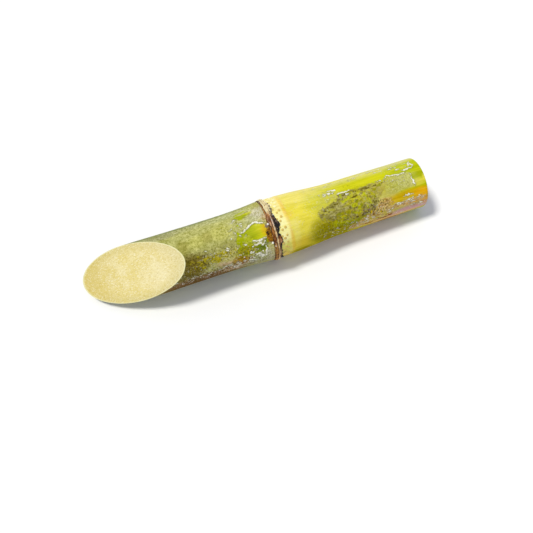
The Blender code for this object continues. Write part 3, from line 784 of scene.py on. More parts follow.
def cells(place, size):  # distance to the nearest of many scattered points
    node = tree.nodes.new("ShaderNodeTexVoronoi")
    tree.links.new(place, node.inputs["Vector"])
    node.inputs["Scale"].default_value = 1 / size
    return node.outputs["Distance"]


def finishShader(shader, colour, roughness, specular):
    for name, value in (("Base Color", colour), ("Roughness", roughness), ("Specular IOR Level", specular)):
        feed(shader.inputs[name], value)


def addBump(shader, height, depth):  # depth in mm of a height of 1
    node = tree.nodes.new("ShaderNodeBump")
    node.inputs["Distance"].default_value = depth * mm
    tree.links.new(height, node.inputs["Height"])
    tree.links.new(node.outputs["Normal"], shader.inputs["Normal"])


def ragged(name, place, size, rag, seed):  # a drawn field with its edge torn by rag mm
    swing = calc("SUBTRACT", mottle(place, size, 3, 0.6, seed), 0.5)
    return calc("MULTIPLY_ADD", swing, rag, attribute(name))


def makeRind():
    material, shader = newMaterial("waxyRind")
    place = grownPlace()
    streaks = grownPlace((1, 1, 0.06))
    short = grownPlace((1, 1, 0.4))
    bare = spread(ragged("bare", place, 1.4, 2.2, 1.0), -0.10, 0.10)
    soot = spread(ragged("soot", place, 2.4, 8.0, 2.0), -0.8, 0.8)
    filmEdge = spread(ragged("film", place, 1.6, 3.0, 3.0), -0.15, 0.15)
    scurf = spread(ragged("scurf", short, 2.4, 10.0, 4.0), -0.8, 0.8)
    husk = spread(ragged("husk", place, 1.0, 3.2, 17.0), -0.15, 0.2)
    curlEdge = ragged("curl", place, 0.9, 2.2, 5.0)
    curl = spread(curlEdge, -0.08, 0.12)
    # curlShade: painted shade in a band just outside each curl of white wax
    curlShade = spread(curlEdge, -0.75, -0.2, 0.0, 0.6)
    spot = spread(ragged("spot", place, 0.9, 3.6, 6.0), -0.12, 0.16)
    fine = mottle(place, 0.95, 3, 0.75, 7.0)
    medium = mottle(grownPlace((1, 1, 0.75)), 2.0, 4, 0.66, 8.0)
    broad = mottle(short, 6.0, 3, 0.55, 9.0)
    fibres = mottle(streaks, 0.8, 4, 0.7, 10.0)
    wisps = mottle(streaks, 1.8, 3, 0.55, 11.0)
    height = grownHeight(place)

    # Rind: lengthwise fibres over the airbrushed tones
    rind = attribute("rindTone", "Color")
    rind = tint(rind, fibres, 0.42, 0.66, 0.6, (0.74, 0.74, 0.36), "MULTIPLY")
    rind = tint(rind, wisps, 0.50, 0.70, 0.32, "#F0E248")
    rind = tint(rind, fine, 0.44, 0.30, 0.5, (1.14, 1.12, 1.4), "MULTIPLY")
    rind = tint(rind, fine, 0.54, 0.68, 0.5, (0.90, 0.88, 0.5), "MULTIPLY")
    rind = tint(rind, broad, 0.48, 0.66, 0.45, (0.82, 0.82, 0.36), "MULTIPLY")

    # Bloom: the waxy coat, mottled and thin in places
    cover = times(attribute("bloomCover"), spread(medium, 0.24, 0.46, 0.70, 1.0))
    cover = times(cover, calc("SUBTRACT", 1.0, bare))
    bloom = attribute("bloomTone", "Color")
    bloom = tint(bloom, medium, 0.48, 0.64, 0.95, (1.28, 1.26, 1.42), "MULTIPLY")
    bloom = tint(bloom, medium, 0.50, 0.34, 0.8, (0.74, 0.74, 0.52), "MULTIPLY")
    bloom = tint(bloom, broad, 0.50, 0.64, 0.5, (0.80, 0.82, 0.72), "MULTIPLY")
    bloom = tint(bloom, fine, 0.48, 0.62, 0.95, (0.60, 0.60, 0.40), "MULTIPLY")
    colour = blend(cover, rind, bloom)

    # Pale sheets and hazes of wax
    haze = attribute("haze")
    film = times(filmEdge, spread(haze, 0.0, 0.7, 0.25, 0.8))
    film = calc("MAXIMUM", film, times(haze, spread(medium, 0.40, 0.58, 0.15, 0.75)))
    filmShade = blend(spread(height, 82, 100), "#A8A248", "#B6B260")
    filmLight = blend(spread(height, 82, 100), "#C6C272", "#D4D08C")
    filmTone = blend(spread(fine, 0.38, 0.66), filmShade, filmLight)
    colour = blend(film, colour, filmTone)

    # Scurf
    scuffs = mottle(grownPlace((1, 1, 0.3)), 0.9, 4, 0.7, 25.0)
    scurfTone = blend(spread(scuffs, 0.38, 0.62), "#B8863E", "#F8DC9C")
    scurfTone = tint(scurfTone, medium, 0.46, 0.60, 0.6, "#96703A")
    scurfShare = times(scurf, spread(medium, 0.36, 0.56, 0.25, 0.9))
    colour = blend(scurfShare, colour, scurfTone)

    # Soot: grey olive dust over the wax, a little darker toward its edges
    sootDust = mottle(grownPlace((1, 1, 0.6)), 1.5, 4, 0.72, 12.0)
    sootTone = blend(spread(sootDust, 0.38, 0.62), "#766C2E", "#B8B070")
    sootTone = tint(sootTone, height, 68, 82, 0.7, "#B5A650")
    wornThrough = mottle(grownPlace((1, 1, 0.55)), 3.4, 4, 0.62, 15.0)
    sootShare = times(soot, spread(medium, 0.36, 0.54, 0.55, 0.95))
    sootShare = times(sootShare, spread(wornThrough, 0.53, 0.58, 1.0, 0.35))
    sootShare = times(sootShare, spread(height, 79, 89, 1.0, 0.3))
    colour = blend(sootShare, colour, sootTone)
    nearEdge = times(soot, spread(attribute("soot"), 0.8, 3.6, 0.55, 0.0))
    nearEdge = times(nearEdge, spread(height, 66, 76, 1.0, 0.0))
    # darker near the soot's lower edges
    sootEdgeDarkening = times(nearEdge, spread(medium, 0.46, 0.60, 1.0, 0.15))
    colour = blend(sootEdgeDarkening, colour, "#6C6024")

    # Dried skin under the scar, then the crisp spots
    burnt = mottle(place, 1.2, 3, 0.65, 18.0)
    huskTone = blend(spread(burnt, 0.40, 0.62), "#6E440E", "#B47A18")
    colour = blend(times(husk, 0.95), colour, huskTone)
    colour = blend(spot, colour, attribute("spotTone", "Color"))

    # Yellow specks and grime in the pores
    specks = mottle(place, 1.7, 3, 0.65, 19.0)
    glints = times(attribute("glint"), spread(specks, 0.50, 0.55, 0.0, 1.0))
    colour = blend(glints, colour, "#B2A416")
    dust = mottle(place, 1.1, 4, 0.72, 13.0)
    grime = times(attribute("grime"), spread(dust, 0.50, 0.57, 0.0, 0.95))
    colour = blend(grime, colour, "#4E4010")

    # White on top: drawn curls, thin broken flecks and grains of wax, their white partly painted highlight
    line = calc("ABSOLUTE", calc("SUBTRACT", mottle(short, 2.6, 3, 0.6, 23.0), 0.5))
    fleck = attribute("fleck")
    broken = calc("MULTIPLY_ADD", fleck, 0.15, mottle(place, 3.0, 3, 0.5, 24.0))
    shown = times(spread(broken, 0.57, 0.62), spread(fleck, 0.0, 0.2, 0.0, 0.85))
    flecks = times(spread(line, 0.010, 0.030, 1.0, 0.0), shown)
    # beside: a painted shade line along each white fleck
    beside = times(spread(line, 0.030, 0.075, 0.7, 0.0), shown)  # a dark line along each fleck
    colour = blend(beside, colour, (0.66, 0.64, 0.44), "MULTIPLY")
    grains = spread(mottle(place, 1.1, 3, 0.6, 14.0), 0.56, 0.64, 0.0, 0.75)
    grains = times(attribute("grit"), grains)
    # painted shade darkens the rind beside each curl
    colour = blend(curlShade, colour, (0.62, 0.64, 0.42), "MULTIPLY")
    white = calc("MAXIMUM", curl, calc("MAXIMUM", flecks, grains))
    whiteTone = blend(spread(fine, 0.4, 0.7), "#E4E0C2", "#FAF9F0")
    colour = blend(white, colour, whiteTone)
    pits = spread(cells(short, 2.1), 0.07, 0.12, 1.0, 0.0)
    pits = times(pits, spread(broad, 0.48, 0.6, 0.0, 0.5))
    colour = blend(pits, colour, "#70602A")

    # Polish and relief
    dull = calc("MAXIMUM", cover, calc("MAXIMUM", sootShare, scurfShare))
    polish = times(attribute("gloss"), spread(dull, 0.0, 1.0, 0.25, 0.03))
    finishShader(shader, colour, spread(dull, 0.0, 1.0, 0.32, 0.6), polish)
    relief = times(white, 1.1)
    relief = calc("MULTIPLY_ADD", medium, times(dull, 0.8), relief)
    relief = calc("MULTIPLY_ADD", fine, 0.28, relief)
    relief = calc("MULTIPLY_ADD", fibres, 0.25, relief)
    addBump(shader, relief, 0.2)
    return material


def makePith():
    material, shader = newMaterial("cutPith")
    cross = grownPlace((1, 1, 0.05))
    place = grownPlace()
    under = attribute("underRind")  # mm in from the rind
    bundles = cells(cross, 1.0)
    crowded = cells(cross, 0.65)
    dots = blend(spread(under, 2.2, 6.5, 1.0, 0.0), bundles, crowded)
    cloud = mottle(place, 9.0, 2, 0.5, 20.0)
    fibre = mottle(cross, 0.55, 4, 0.75, 21.0)
    grainy = mottle(place, 0.9, 4, 0.75, 22.0)
    ground = blend(spread(cloud, 0.38, 0.66), "#E5D48A", "#EEE1AA")
    ground = tint(ground, under, 7.5, 1.0, 0.95, "#D9CA84")
    height, middle = grownHeight(place), cane["cutCentre"]
    ground = tint(ground, height, middle, middle - 34, 0.95, "#D6C26E")  # toward the long tip
    ground = tint(ground, height, middle, middle + 32, 0.2, "#F6EFD0")  # toward the heel
    colour = blend(spread(dots, 0.16, 0.42, 0.6, 0.0), ground, "#FAF3D2")
    colour = tint(colour, fibre, 0.48, 0.70, 0.7, "#C4AC58")
    colour = tint(colour, grainy, 0.54, 0.70, 0.55, "#BFA758")
    colour = tint(colour, grainy, 0.46, 0.32, 0.6, "#FBF5DA")
    colour = tint(colour, under, 0.70, 0.40, 0.6, "#F0EDBE")
    colour = tint(colour, under, 0.14, 0.05, 0.7, "#BFC070")
    finishShader(shader, colour, 0.55, 0.12)
    addBump(shader, calc("MULTIPLY_ADD", grainy, 0.8, dots), 0.16)
    return material


def makePlain(name, code, roughness, specular=0.15):
    material, shader = newMaterial(name)
    finishShader(shader, code, roughness, specular)
    return material


def makeFibre(name, seed, depth=0.16):  # dry fibre over a painted tone
    material, shader = newMaterial(name)
    place = grownPlace()
    worn = mottle(place, 0.8, 4, 0.7, seed)
    colour = attribute("tone", "Color")
    colour = tint(colour, worn, 0.46, 0.70, 0.65, (0.42, 0.33, 0.27), "MULTIPLY")
    dusty = mottle(place, 1.6, 3, 0.6, seed + 1)
    colour = tint(colour, dusty, 0.56, 0.72, 0.35, "#D9C7A4")
    finishShader(shader, colour, 0.7, 0.3)
    addBump(shader, worn, depth)
    return material


# The stalk: a ring drawn out along the axis, subdivided, then cut on the slant by a wavy blade
stalkMake = {
    "around": 56,
    "nodeStep": 1.2,  # between rings near the node, and further off
    "plainStep": 3.2,
    "nodeZone": (1.5, 13.0, 14.0),  # its middle, half length, and how far the steps take to widen
    "stockEnd": -132.0,
    "edgeTurns": (30, 60, 90),  # of the rounded edge at the square end
    "faceRings": (0.97, 0.9, 0.8, 0.68, 0.54, 0.4, 0.26, 0.12),
    "blade": (96.0, 50.0, 60.0),  # length, width and depth
    "cutGrain": 0.6,
    "cutWaves": (0.14, 0.03),  # broad waves and fine saw marks
    "skinWaves": (0.05, 0.03),  # broad waves and fine ribs along the rind
    "curlRise": 0.20,
    "crust": {"bare": -0.09, "film": 0.03, "soot": 0.05, "scurf": 0.06},  # mm off the rind
    "smooth": 40,
}


def caneHeights():
    middle, half, fade = stalkMake["nodeZone"]
    heights = [stalkMake["stockEnd"]]
    while heights[-1] < cane["tipEnd"] - cane["endRound"] - stalkMake["plainStep"]:
        share = float(ease((abs(heights[-1] - middle) - half) / fade))
        step = stalkMake["nodeStep"] + (stalkMake["plainStep"] - stalkMake["nodeStep"]) * share
        heights.append(heights[-1] + step)
    return heights[1:] + [cane["tipEnd"] - cane["endRound"]]


def drawOut(rise, grow, centre):  # extrudes the selected ring up and to a new size
    bpy.ops.mesh.extrude_region_move(TRANSFORM_OT_translate={"value": (0, 0, rise)})
    bpy.ops.transform.resize(value=(grow, grow, 1), center_override=(0, 0, centre))


def growCane():
    deselect()
    last = stalkMake["stockEnd"]
    lastRadius = girth(last)
    bpy.ops.mesh.primitive_circle_add(
        vertices=stalkMake["around"], radius=lastRadius, location=(0, 0, last), fill_type="NGON"
    )
    stalk = bpy.context.object
    bpy.ops.object.transform_apply(location=True, rotation=True, scale=True)
    bpy.ops.object.mode_set(mode="EDIT")
    bpy.ops.mesh.select_all(action="SELECT")
    for z in caneHeights():
        radius = girth(z)
        drawOut(z - last, radius / lastRadius, z)
        last, lastRadius = z, radius
    for turn in stalkMake["edgeTurns"]:  # round the edge, then in to the middle of the face
        bend = math.radians(turn)
        radius = cane["tipRadius"] - cane["endRound"] * (1 - math.cos(bend))
        z = cane["tipEnd"] - cane["endRound"] * (1 - math.sin(bend))
        drawOut(z - last, radius / lastRadius, z)
        last, lastRadius = z, radius
    for share in stalkMake["faceRings"]:
        radius = (cane["tipRadius"] - cane["endRound"]) * share
        drawOut(0, radius / lastRadius, last)
        lastRadius = radius
    bpy.ops.mesh.merge(type="CENTER")
    faceOutward()
    applyModifier(stalk, "SUBSURF", levels=2, render_levels=2)
    return stalk


def wavyBlade():
    slant, facing = math.radians(cane["cutSlant"]), math.radians(cane["cutFacing"])
    sideways = math.sin(slant)
    outward = Vector((sideways * math.cos(facing), sideways * math.sin(facing), -math.cos(slant)))
    length, width, depth = stalkMake["blade"]
    across, along = int(width / stalkMake["cutGrain"]), int(length / stalkMake["cutGrain"])
    deselect()
    bpy.ops.mesh.primitive_grid_add(x_subdivisions=across, y_subdivisions=along, size=2)
    blade = bpy.context.object
    blade.scale = (width / 2, length / 2, 1)
    bpy.ops.object.transform_apply(location=True, rotation=True, scale=True)
    points = readPoints(blade.data)
    broad, fine = stalkMake["cutWaves"]
    points[:, 2] += broad * grain(points, (14, 22, 10), 3)
    points[:, 2] += fine * grain(points, (1.2, 5, 1), 4)
    writePoints(blade.data, points)
    pick(blade)
    bpy.ops.object.mode_set(mode="EDIT")
    bpy.ops.mesh.select_all(action="SELECT")
    bpy.ops.mesh.extrude_region_move(TRANSFORM_OT_translate={"value": (0, 0, depth)})
    faceOutward()
    blade.location = (0, 0, cane["cutCentre"])
    blade.rotation_mode = "QUATERNION"
    blade.rotation_quaternion = outward.to_track_quat("Z", "Y")
    return blade


def makeStalk(rindMaterial, pithMaterial):
    stalk = growCane()
    blade = wavyBlade()
    for piece, material in ((stalk, rindMaterial), (stalk, pithMaterial), (blade, pithMaterial)):
        piece.data.materials.append(material)
    cut = {"object": blade, "operation": "DIFFERENCE", "solver": "EXACT", "material_mode": "TRANSFER"}
    applyModifier(stalk, "BOOLEAN", **cut)
    bpy.data.objects.remove(blade)
    mesh = stalk.data
    points = readPoints(mesh)
    z, angle, radius = toPolar(points)
    surface = radiusAt(z)
    skin = ease((radius / surface - 0.93) / 0.05) * (z < cane["tipEnd"] - 0.02)  # 0 on the cut faces
    fields = {name: patchField(z, angle, name) for name in patches}
    fields["curl"] = curlField(z, angle)
    fields["spot"], spotTones = spotField(z, angle)
    print("patches drawn")
    relief = outOfRound(angle, z) - furrowDepth(angle, z)
    broad, fine = stalkMake["skinWaves"]
    relief = relief + broad * grain(points, (6, 6, 14), 6) + fine * grain(points, (1, 1, 9), 7)
    relief = relief + stalkMake["curlRise"] * ease((fields["curl"] + 0.25) / 0.6)
    lumps = {"soot": 1 + grain(points, 1.4, 8), "scurf": 1 + grain(points, 1.6, 9)}
    for name, rise in stalkMake["crust"].items():
        relief = relief + rise * lumps.get(name, 1) * ease((fields[name] + 0.3) / 0.6)
    relief = np.where(z > cane["tipEnd"] - cane["endRound"] * 1.2, outOfRound(angle, z), relief)
    low, high = cane["seat"]  # the rind under the rim sinks out of its way
    inSeat = ease((z - low + 0.2) / 0.4) * ease((high + 0.2 - z) / 0.4)
    sunk = inSeat * (surface - cane["seatRadius"] + 0.4)
    points = fromPolar(radius + skin * (relief - sunk), angle, z)
    writePoints(mesh, points)
    keepColour(mesh, "rindTone", rindTones(z, angle))
    tone, cover = airbrush(z, angle, np.tile(linear(tones["sage"]), (len(z), 1)), bloomStrokes)
    keepColour(mesh, "bloomTone", tone)
    keepAttribute(mesh, "bloomCover", cover * ease((-1.6 - z) / 0.8))  # no bloom above the leaf scar
    keepColour(mesh, "spotTone", spotTones)
    for name, strokes in sprays.items():
        keepAttribute(mesh, name, np.max([strokeShare(z, angle, *stroke) for stroke in strokes], 0))
    keepAttribute(mesh, "underRind", surface - radius)
    for name, field in fields.items():
        keepAttribute(mesh, name, field)
    for face in mesh.polygons:
        if face.center.z > cane["tipEnd"] - 0.05:
            face.material_index = 1
    stalk.name = mesh.name = "cane_stalk"
    layDown(stalk, stalkMake["smooth"])
    return stalk


# Root dots: small raised rings in three loose rows
dotMake = {
    "rows": (3.9, 5.6, 7.3),
    "perRow": 22,
    "radius": 1.1,
    "rise": 0.16,
    "shift": 0.4,
    "seed": 7,
    "smooth": 50,
    "besideBud": 17,  # half angle with no dots
    "bleached": (140, 34),  # middle and half angle of the sheath's pale side, where the eyes are pale
}


def makeRootDots():
    skin = makePlain("rootDotSkin", "#FCF1B8", 0.5)
    eye = makePlain("rootDotEye", "#D8BC66", 0.6)
    deselect()
    bpy.ops.mesh.primitive_cylinder_add(vertices=12, radius=dotMake["radius"], depth=1.0)
    pattern = bpy.context.object
    pattern.data.materials.append(skin)
    pattern.data.materials.append(eye)
    for face in pattern.data.polygons:
        face.select = face.normal.z > 0.9
    bpy.ops.object.mode_set(mode="EDIT")
    bpy.ops.mesh.select_mode(type="FACE")
    bpy.ops.transform.resize(value=(0.8, 0.8, 1), center_override=(0, 0, 0.5))
    bpy.ops.mesh.inset(thickness=0.60, depth=0.08)
    bpy.ops.mesh.inset(thickness=0.12, depth=-0.08)
    pattern.active_material_index = 1
    bpy.ops.object.material_slot_assign()
    bpy.ops.object.mode_set(mode="OBJECT")
    edges = {"limit_method": "ANGLE", "angle_limit": math.radians(35)}
    applyModifier(pattern, "BEVEL", width=0.05, segments=1, **edges)
    paleMiddle, paleHalf = dotMake["bleached"]
    draw = random.Random(dotMake["seed"])
    dots = []
    for row, height in enumerate(dotMake["rows"]):
        for count in range(dotMake["perRow"]):
            angle = (count + 0.5 * (row % 2) + draw.uniform(-0.22, 0.22)) * 360 / dotMake["perRow"]
            z = height + draw.uniform(-1, 1) * dotMake["shift"]
            size = draw.uniform(0.8, 1.12)
            if abs(turnFrom(angle, cane["budFacing"])) < dotMake["besideBud"]:
                continue
            dot = copyOf(pattern)
            if abs(turnFrom(angle, paleMiddle)) < paleHalf:
                dot.data.materials[1] = skin
            stand = standOn(angle, z, dotMake["rise"] - 0.5)
            dot.matrix_world = stand @ Matrix.Diagonal((size, size, 1, 1))
            dots.append(dot)
    bpy.data.objects.remove(pattern)
    joined = joinPieces(dots, "root_dots")
    layDown(joined, dotMake["smooth"])
    return joined


# Loose flakes of white wax, their white partly painted highlight: one rough pebble, pressed flat, copied to
# the places below
flakes = [  # height, angle, half length, half width, rise in mm, and turn in degrees
    (-3, 201.4, 0.85, 0.62, 0.55, 30), (-3.2, 237.6, 0.85, 0.62, 0.5, 10),
    (-1.6, 245.6, 0.62, 0.5, 0.9, 60), (-7.3, 244.6, 0.55, 0.45, 0.3, 0),
    (48.3, 172.2, 0.9, 0.62, 0.35, 20), (-23.2, 251, 0.5, 0.42, 0.3, 0),
    (-20.2, 226.2, 0.36, 0.5, 0.25, 40), (-16.4, 233.6, 0.5, 0.36, 0.25, 15),
    (-28.4, 206.6, 0.5, 0.36, 0.2, 50), (57.2, 183, 0.6, 0.36, 0.25, 10), (90.8, 160.2, 0.7, 0.42, 0.25, 5),
    (105.8, 262.6, 0.6, 0.5, 0.3, 30), (104.4, 240.6, 0.5, 0.4, 0.25, 30), (81.4, 254, 0.5, 0.36, 0.25, 30),
    (66, 268, 0.5, 0.36, 0.25, 30), (-46.4, 214.6, 0.42, 0.4, 0.2, 30), (30, 40, 0.7, 0.45, 0.3, 20),
    (-12, 70, 0.7, 0.45, 0.3, 70), (-40, 320, 0.7, 0.45, 0.25, 10), (84.6, 146.4, 0.6, 0.4, 0.25, 0),
]


def makeFlakes():
    deselect()
    bpy.ops.mesh.primitive_ico_sphere_add(subdivisions=2, radius=1)
    pattern = bpy.context.object
    points = readPoints(pattern.data)
    points *= (1 + 0.45 * grain(points, 0.7, 160))[:, None]
    points[:, 2] = np.maximum(points[:, 2], -0.35)
    writePoints(pattern.data, points)
    pattern.data.materials.append(makePlain("looseWaxAndHighlight", "#F2F0E6", 0.45, 0.3))
    placed = []
    for height, angle, halfLength, halfWidth, rise, turn in flakes:
        flake = copyOf(pattern)
        turned = standOn(angle, height) @ Matrix.Rotation(math.radians(turn), 4, "Z")
        flake.matrix_world = turned @ Matrix.Diagonal((halfLength, halfWidth, rise, 1))
        placed.append(flake)
    bpy.data.objects.remove(pattern)
    return joinPieces(placed, "wax_flakes_and_highlights")


# The dry foot of the leaf sheath: a husk in its seat, fibres wound round it, and a torn black frill
rim = {
    "huskMiddle": -0.3,
    "huskHalfHeight": 2.0,
    "huskRadius": 20.0,
    "huskBulge": 0.75,
    "frillFoot": 0.3,
    "frillRows": 7,
    "frillRadius": 20.6,
    "frillThickness": 0.3,
    "frillLean": 0.10,  # how far its top stands out
    "frillThinning": 0.6,
    "around": 360,
    "paleSide": (150, 26, 6),  # middle, half angle and fade of the side that stays pale
}
# crest, rose and white, where they lie on the strands along the ridge's crest, are partly the fibre's own
# pale colour and partly painted highlight
rimTones = {
    "cream": "#F0E4B4", "crest": "#F0CC92", "gold": "#C9923E", "tan": "#CF9560", "rose": "#D8AE92",
    "amber": "#A8680E", "brown": "#96591F", "redBrown": "#7C3E14", "bark": "#5A3716", "dark": "#33200F",
    "black": "#141012", "smoke": "#8A6654", "white": "#F6F4EC",
}
strands = [  # height, radius, half thickness and wander in mm, then the tone at a few angles
    (-2.15, 20.52, 0.30, 0.20, ((60, "redBrown"), (146, "dark"), (156, "amber"), (178, "gold"),
        (186, "tan"), (198, "smoke"), (210, "dark"), (224, "amber"), (238, "bark"), (248, "gold"),
        (285, "brown"))),
    (-1.60, 20.70, 0.30, 0.25, ((60, "bark"), (140, "dark"), (176, "bark"), (186, "tan"), (200, "rose"),
        (210, "amber"), (236, "redBrown"), (248, "gold"), (285, "amber"))),
    (-1.05, 20.86, 0.32, 0.25, ((60, "redBrown"), (128, "cream"), (176, "cream"), (184, "brown"),
        (194, "redBrown"), (203, "tan"), (212, "amber"), (236, "brown"), (252, "gold"), (285, "gold"))),
    (-0.50, 20.98, 0.32, 0.22, ((60, "brown"), (126, "cream"), (178, "cream"), (186, "tan"),
        (198, "redBrown"), (208, "rose"), (216, "amber"), (238, "redBrown"), (250, "gold"),
        (285, "amber"))),
    (0.10, 21.06, 0.34, 0.25, ((60, "redBrown"), (124, "cream"), (178, "cream"), (188, "tan"),
        (199, "rose"), (212, "crest"), (238, "crest"), (262, "gold"), (285, "tan"))),
    (0.62, 21.00, 0.34, 0.25, ((60, "brown"), (124, "cream"), (179, "cream"), (190, "redBrown"),
        (204, "tan"), (216, "crest"), (240, "crest"), (262, "crest"), (285, "crest"))),
    (1.15, 20.86, 0.32, 0.25, ((60, "bark"), (124, "cream"), (180, "cream"), (187, "smoke"), (194, "bark"),
        (204, "dark"), (226, "dark"), (234, "tan"), (250, "bark"), (266, "crest"), (285, "tan"))),
    (1.62, 20.62, 0.26, 0.18, ((60, "dark"), (124, "cream"), (178, "cream"), (184, "black"), (228, "black"),
        (236, "brown"), (246, "dark"), (264, "gold"), (285, "dark"))),
    (-1.85, 20.86, 0.15, 0.40, ((60, "dark"), (150, "bark"), (180, "redBrown"), (205, "dark"),
        (236, "dark"), (252, "brown"), (285, "bark"))),
    (-0.20, 21.24, 0.13, 0.55, ((60, "dark"), (124, "cream"), (180, "gold"), (196, "bark"), (285, "dark"))),
    (0.35, 21.30, 0.12, 0.45, ((60, "tan"), (124, "cream"), (180, "cream"), (200, "white"), (230, "cream"),
        (285, "cream"))),
    (0.90, 21.14, 0.13, 0.50, ((60, "dark"), (124, "cream"), (180, "gold"), (192, "dark"),
        (285, "redBrown"))),
]
frillTop = [  # angle and height in mm of the frill's torn upper edge
    (0, 3.2), (14, 4.2), (24, 2.6), (36, 3.6), (50, 2.3), (66, 2.8), (84, 2.2), (100, 2.4), (120, 1.7),
    (140, 1.9), (152, 2.3), (160, 2.9), (166, 3.2), (171, 2.8), (174, 3.1), (178, 2.7), (182, 2),
    (184.5, 2.5), (188, 2.8), (193, 3), (200, 3.8), (205, 4.7), (208, 4.8), (211, 4.2), (214, 3.4),
    (219, 3.3), (222, 2.2), (225, 2.8), (229, 3.4), (236, 4), (242, 3.9), (246, 2.9), (252, 2.5),
    (262, 2.5), (274, 2.6), (284, 3.4), (292, 4.3), (300, 3), (312, 2.4), (326, 2.8), (340, 2.2),
    (350, 2.6),
]
frillStrokes = [  # angle, height, half angle, half height, tone and strength
    (60, 0.6, 60, 1.3, "bark", 0.8), (330, 0.6, 44, 1.3, "bark", 0.8), (150, 1.4, 27, 3.4, "cream", 1),
    (158, 2.5, 2.4, 0.6, "bark", 1), (166.5, 2.7, 2.6, 0.7, "bark", 1), (173.5, 2.5, 2.4, 0.9, "dark", 1),
    (162, 1.9, 1.4, 0.4, "brown", 0.9), (140, 2, 2, 0.5, "gold", 0.6), (184, 1, 4.5, 0.9, "brown", 0.9),
    (187.4, 2.5, 1.2, 0.4, "white", 1), (191, 1, 5, 0.7, "brown", 0.8), (194, 2.3, 2.6, 0.35, "smoke", 0.7),
    (200, 2.7, 2, 0.35, "smoke", 0.7), (204, 3.4, 2, 0.3, "smoke", 0.6), (232, 1.2, 5, 0.5, "tan", 0.8),
    (232, 2.3, 4, 0.8, "brown", 0.9), (238, 2.5, 4, 1.1, "tan", 0.75), (244, 1.4, 5, 0.6, "gold", 0.8),
    (262, 1.1, 15, 0.8, "crest", 0.9), (286, 1, 12, 0.7, "brown", 0.8),
]


def roundNoise(angle, size, seed):  # smooth noise round the stalk, size in mm along the rim
    turn = np.radians(angle)
    around = rim["huskRadius"] / size
    return grain(np.stack([around * np.cos(turn), around * np.sin(turn), turn * 0], -1), 1.0, seed, 3)


def rimTint(angle, stops, seed, worn=0.55):
    angles = [stop for stop, _ in stops]
    shades = np.array([linear(rimTones[tone]) for _, tone in stops])
    colour = np.stack([np.interp(angle, angles, shades[:, i], period=360) for i in range(3)], -1)
    middle, half, fade = rim["paleSide"]
    pale = 1 - ease((np.abs(turnFrom(angle, middle)) - half) / fade)
    patchy = roundNoise(angle, 1.5, seed) + 0.6 * roundNoise(angle, 5.0, seed + 1)
    dark = worn * ease(patchy * 2.4 - 0.35) * (1 - 0.4 * pale)
    light = 0.6 * worn * ease(-patchy * 2.4 - 0.5)
    return over(over(colour, rimTones["dark"], dark), rimTones["crest"], light)


def addHoop(radius, thickness, sides):
    deselect()
    bpy.ops.mesh.primitive_torus_add(
        major_segments=rim["around"], minor_segments=sides, major_radius=radius, minor_radius=thickness
    )
    return bpy.context.object


def makeRim(fibre):
    husk = addHoop(rim["huskRadius"], 1, 18)
    points = readPoints(husk.data)
    z, angle, radius = toPolar(points)
    outward = radius - rim["huskRadius"]
    wrinkle = grain(np.stack([np.radians(angle) * 4, z * 3.4, z * 0], -1), 1.0, 31, 3)
    wrinkle = 0.14 * wrinkle * np.sin(np.radians(angle / 2)) ** 0.2  # none where the noise's ends meet
    newZ = rim["huskMiddle"] + rim["huskHalfHeight"] * np.sign(z) * np.abs(z) ** 0.8
    newRadius = rim["huskRadius"] + rim["huskBulge"] * outward + np.where(outward > 0, wrinkle, 0)
    writePoints(husk.data, fromPolar(newRadius + outOfRound(angle, newZ), angle, newZ))
    stops = ((60, "bark"), (124, "cream"), (176, "cream"), (184, "bark"), (240, "bark"), (285, "dark"))
    keepColour(husk.data, "tone", rimTint(angle, stops, 32))
    pieces = [husk]
    for count, (height, middle, thickness, wander, stops) in enumerate(strands):
        strand = addHoop(middle, thickness, 7)
        points = readPoints(strand.data)
        z, angle, radius = toPolar(points)
        swell = 0.85 + 0.6 * roundNoise(angle, 1.8, 40 + count)
        drift = roundNoise(angle, 6.0, 60 + count) + 0.4 * roundNoise(angle, 2.0, 70 + count)
        lineHeight = height + wander * drift
        lineRadius = middle + 0.16 * roundNoise(angle, 3.0, 80 + count)
        newZ = lineHeight + z * swell
        newRadius = lineRadius + (radius - middle) * swell
        writePoints(strand.data, fromPolar(newRadius + outOfRound(angle, newZ), angle, newZ))
        keepColour(strand.data, "tone", rimTint(angle, stops, 100 + 3 * count))
        pieces.append(strand)
    for piece in pieces:
        piece.data.materials.append(fibre)
    return joinPieces(pieces, "dry_rim")


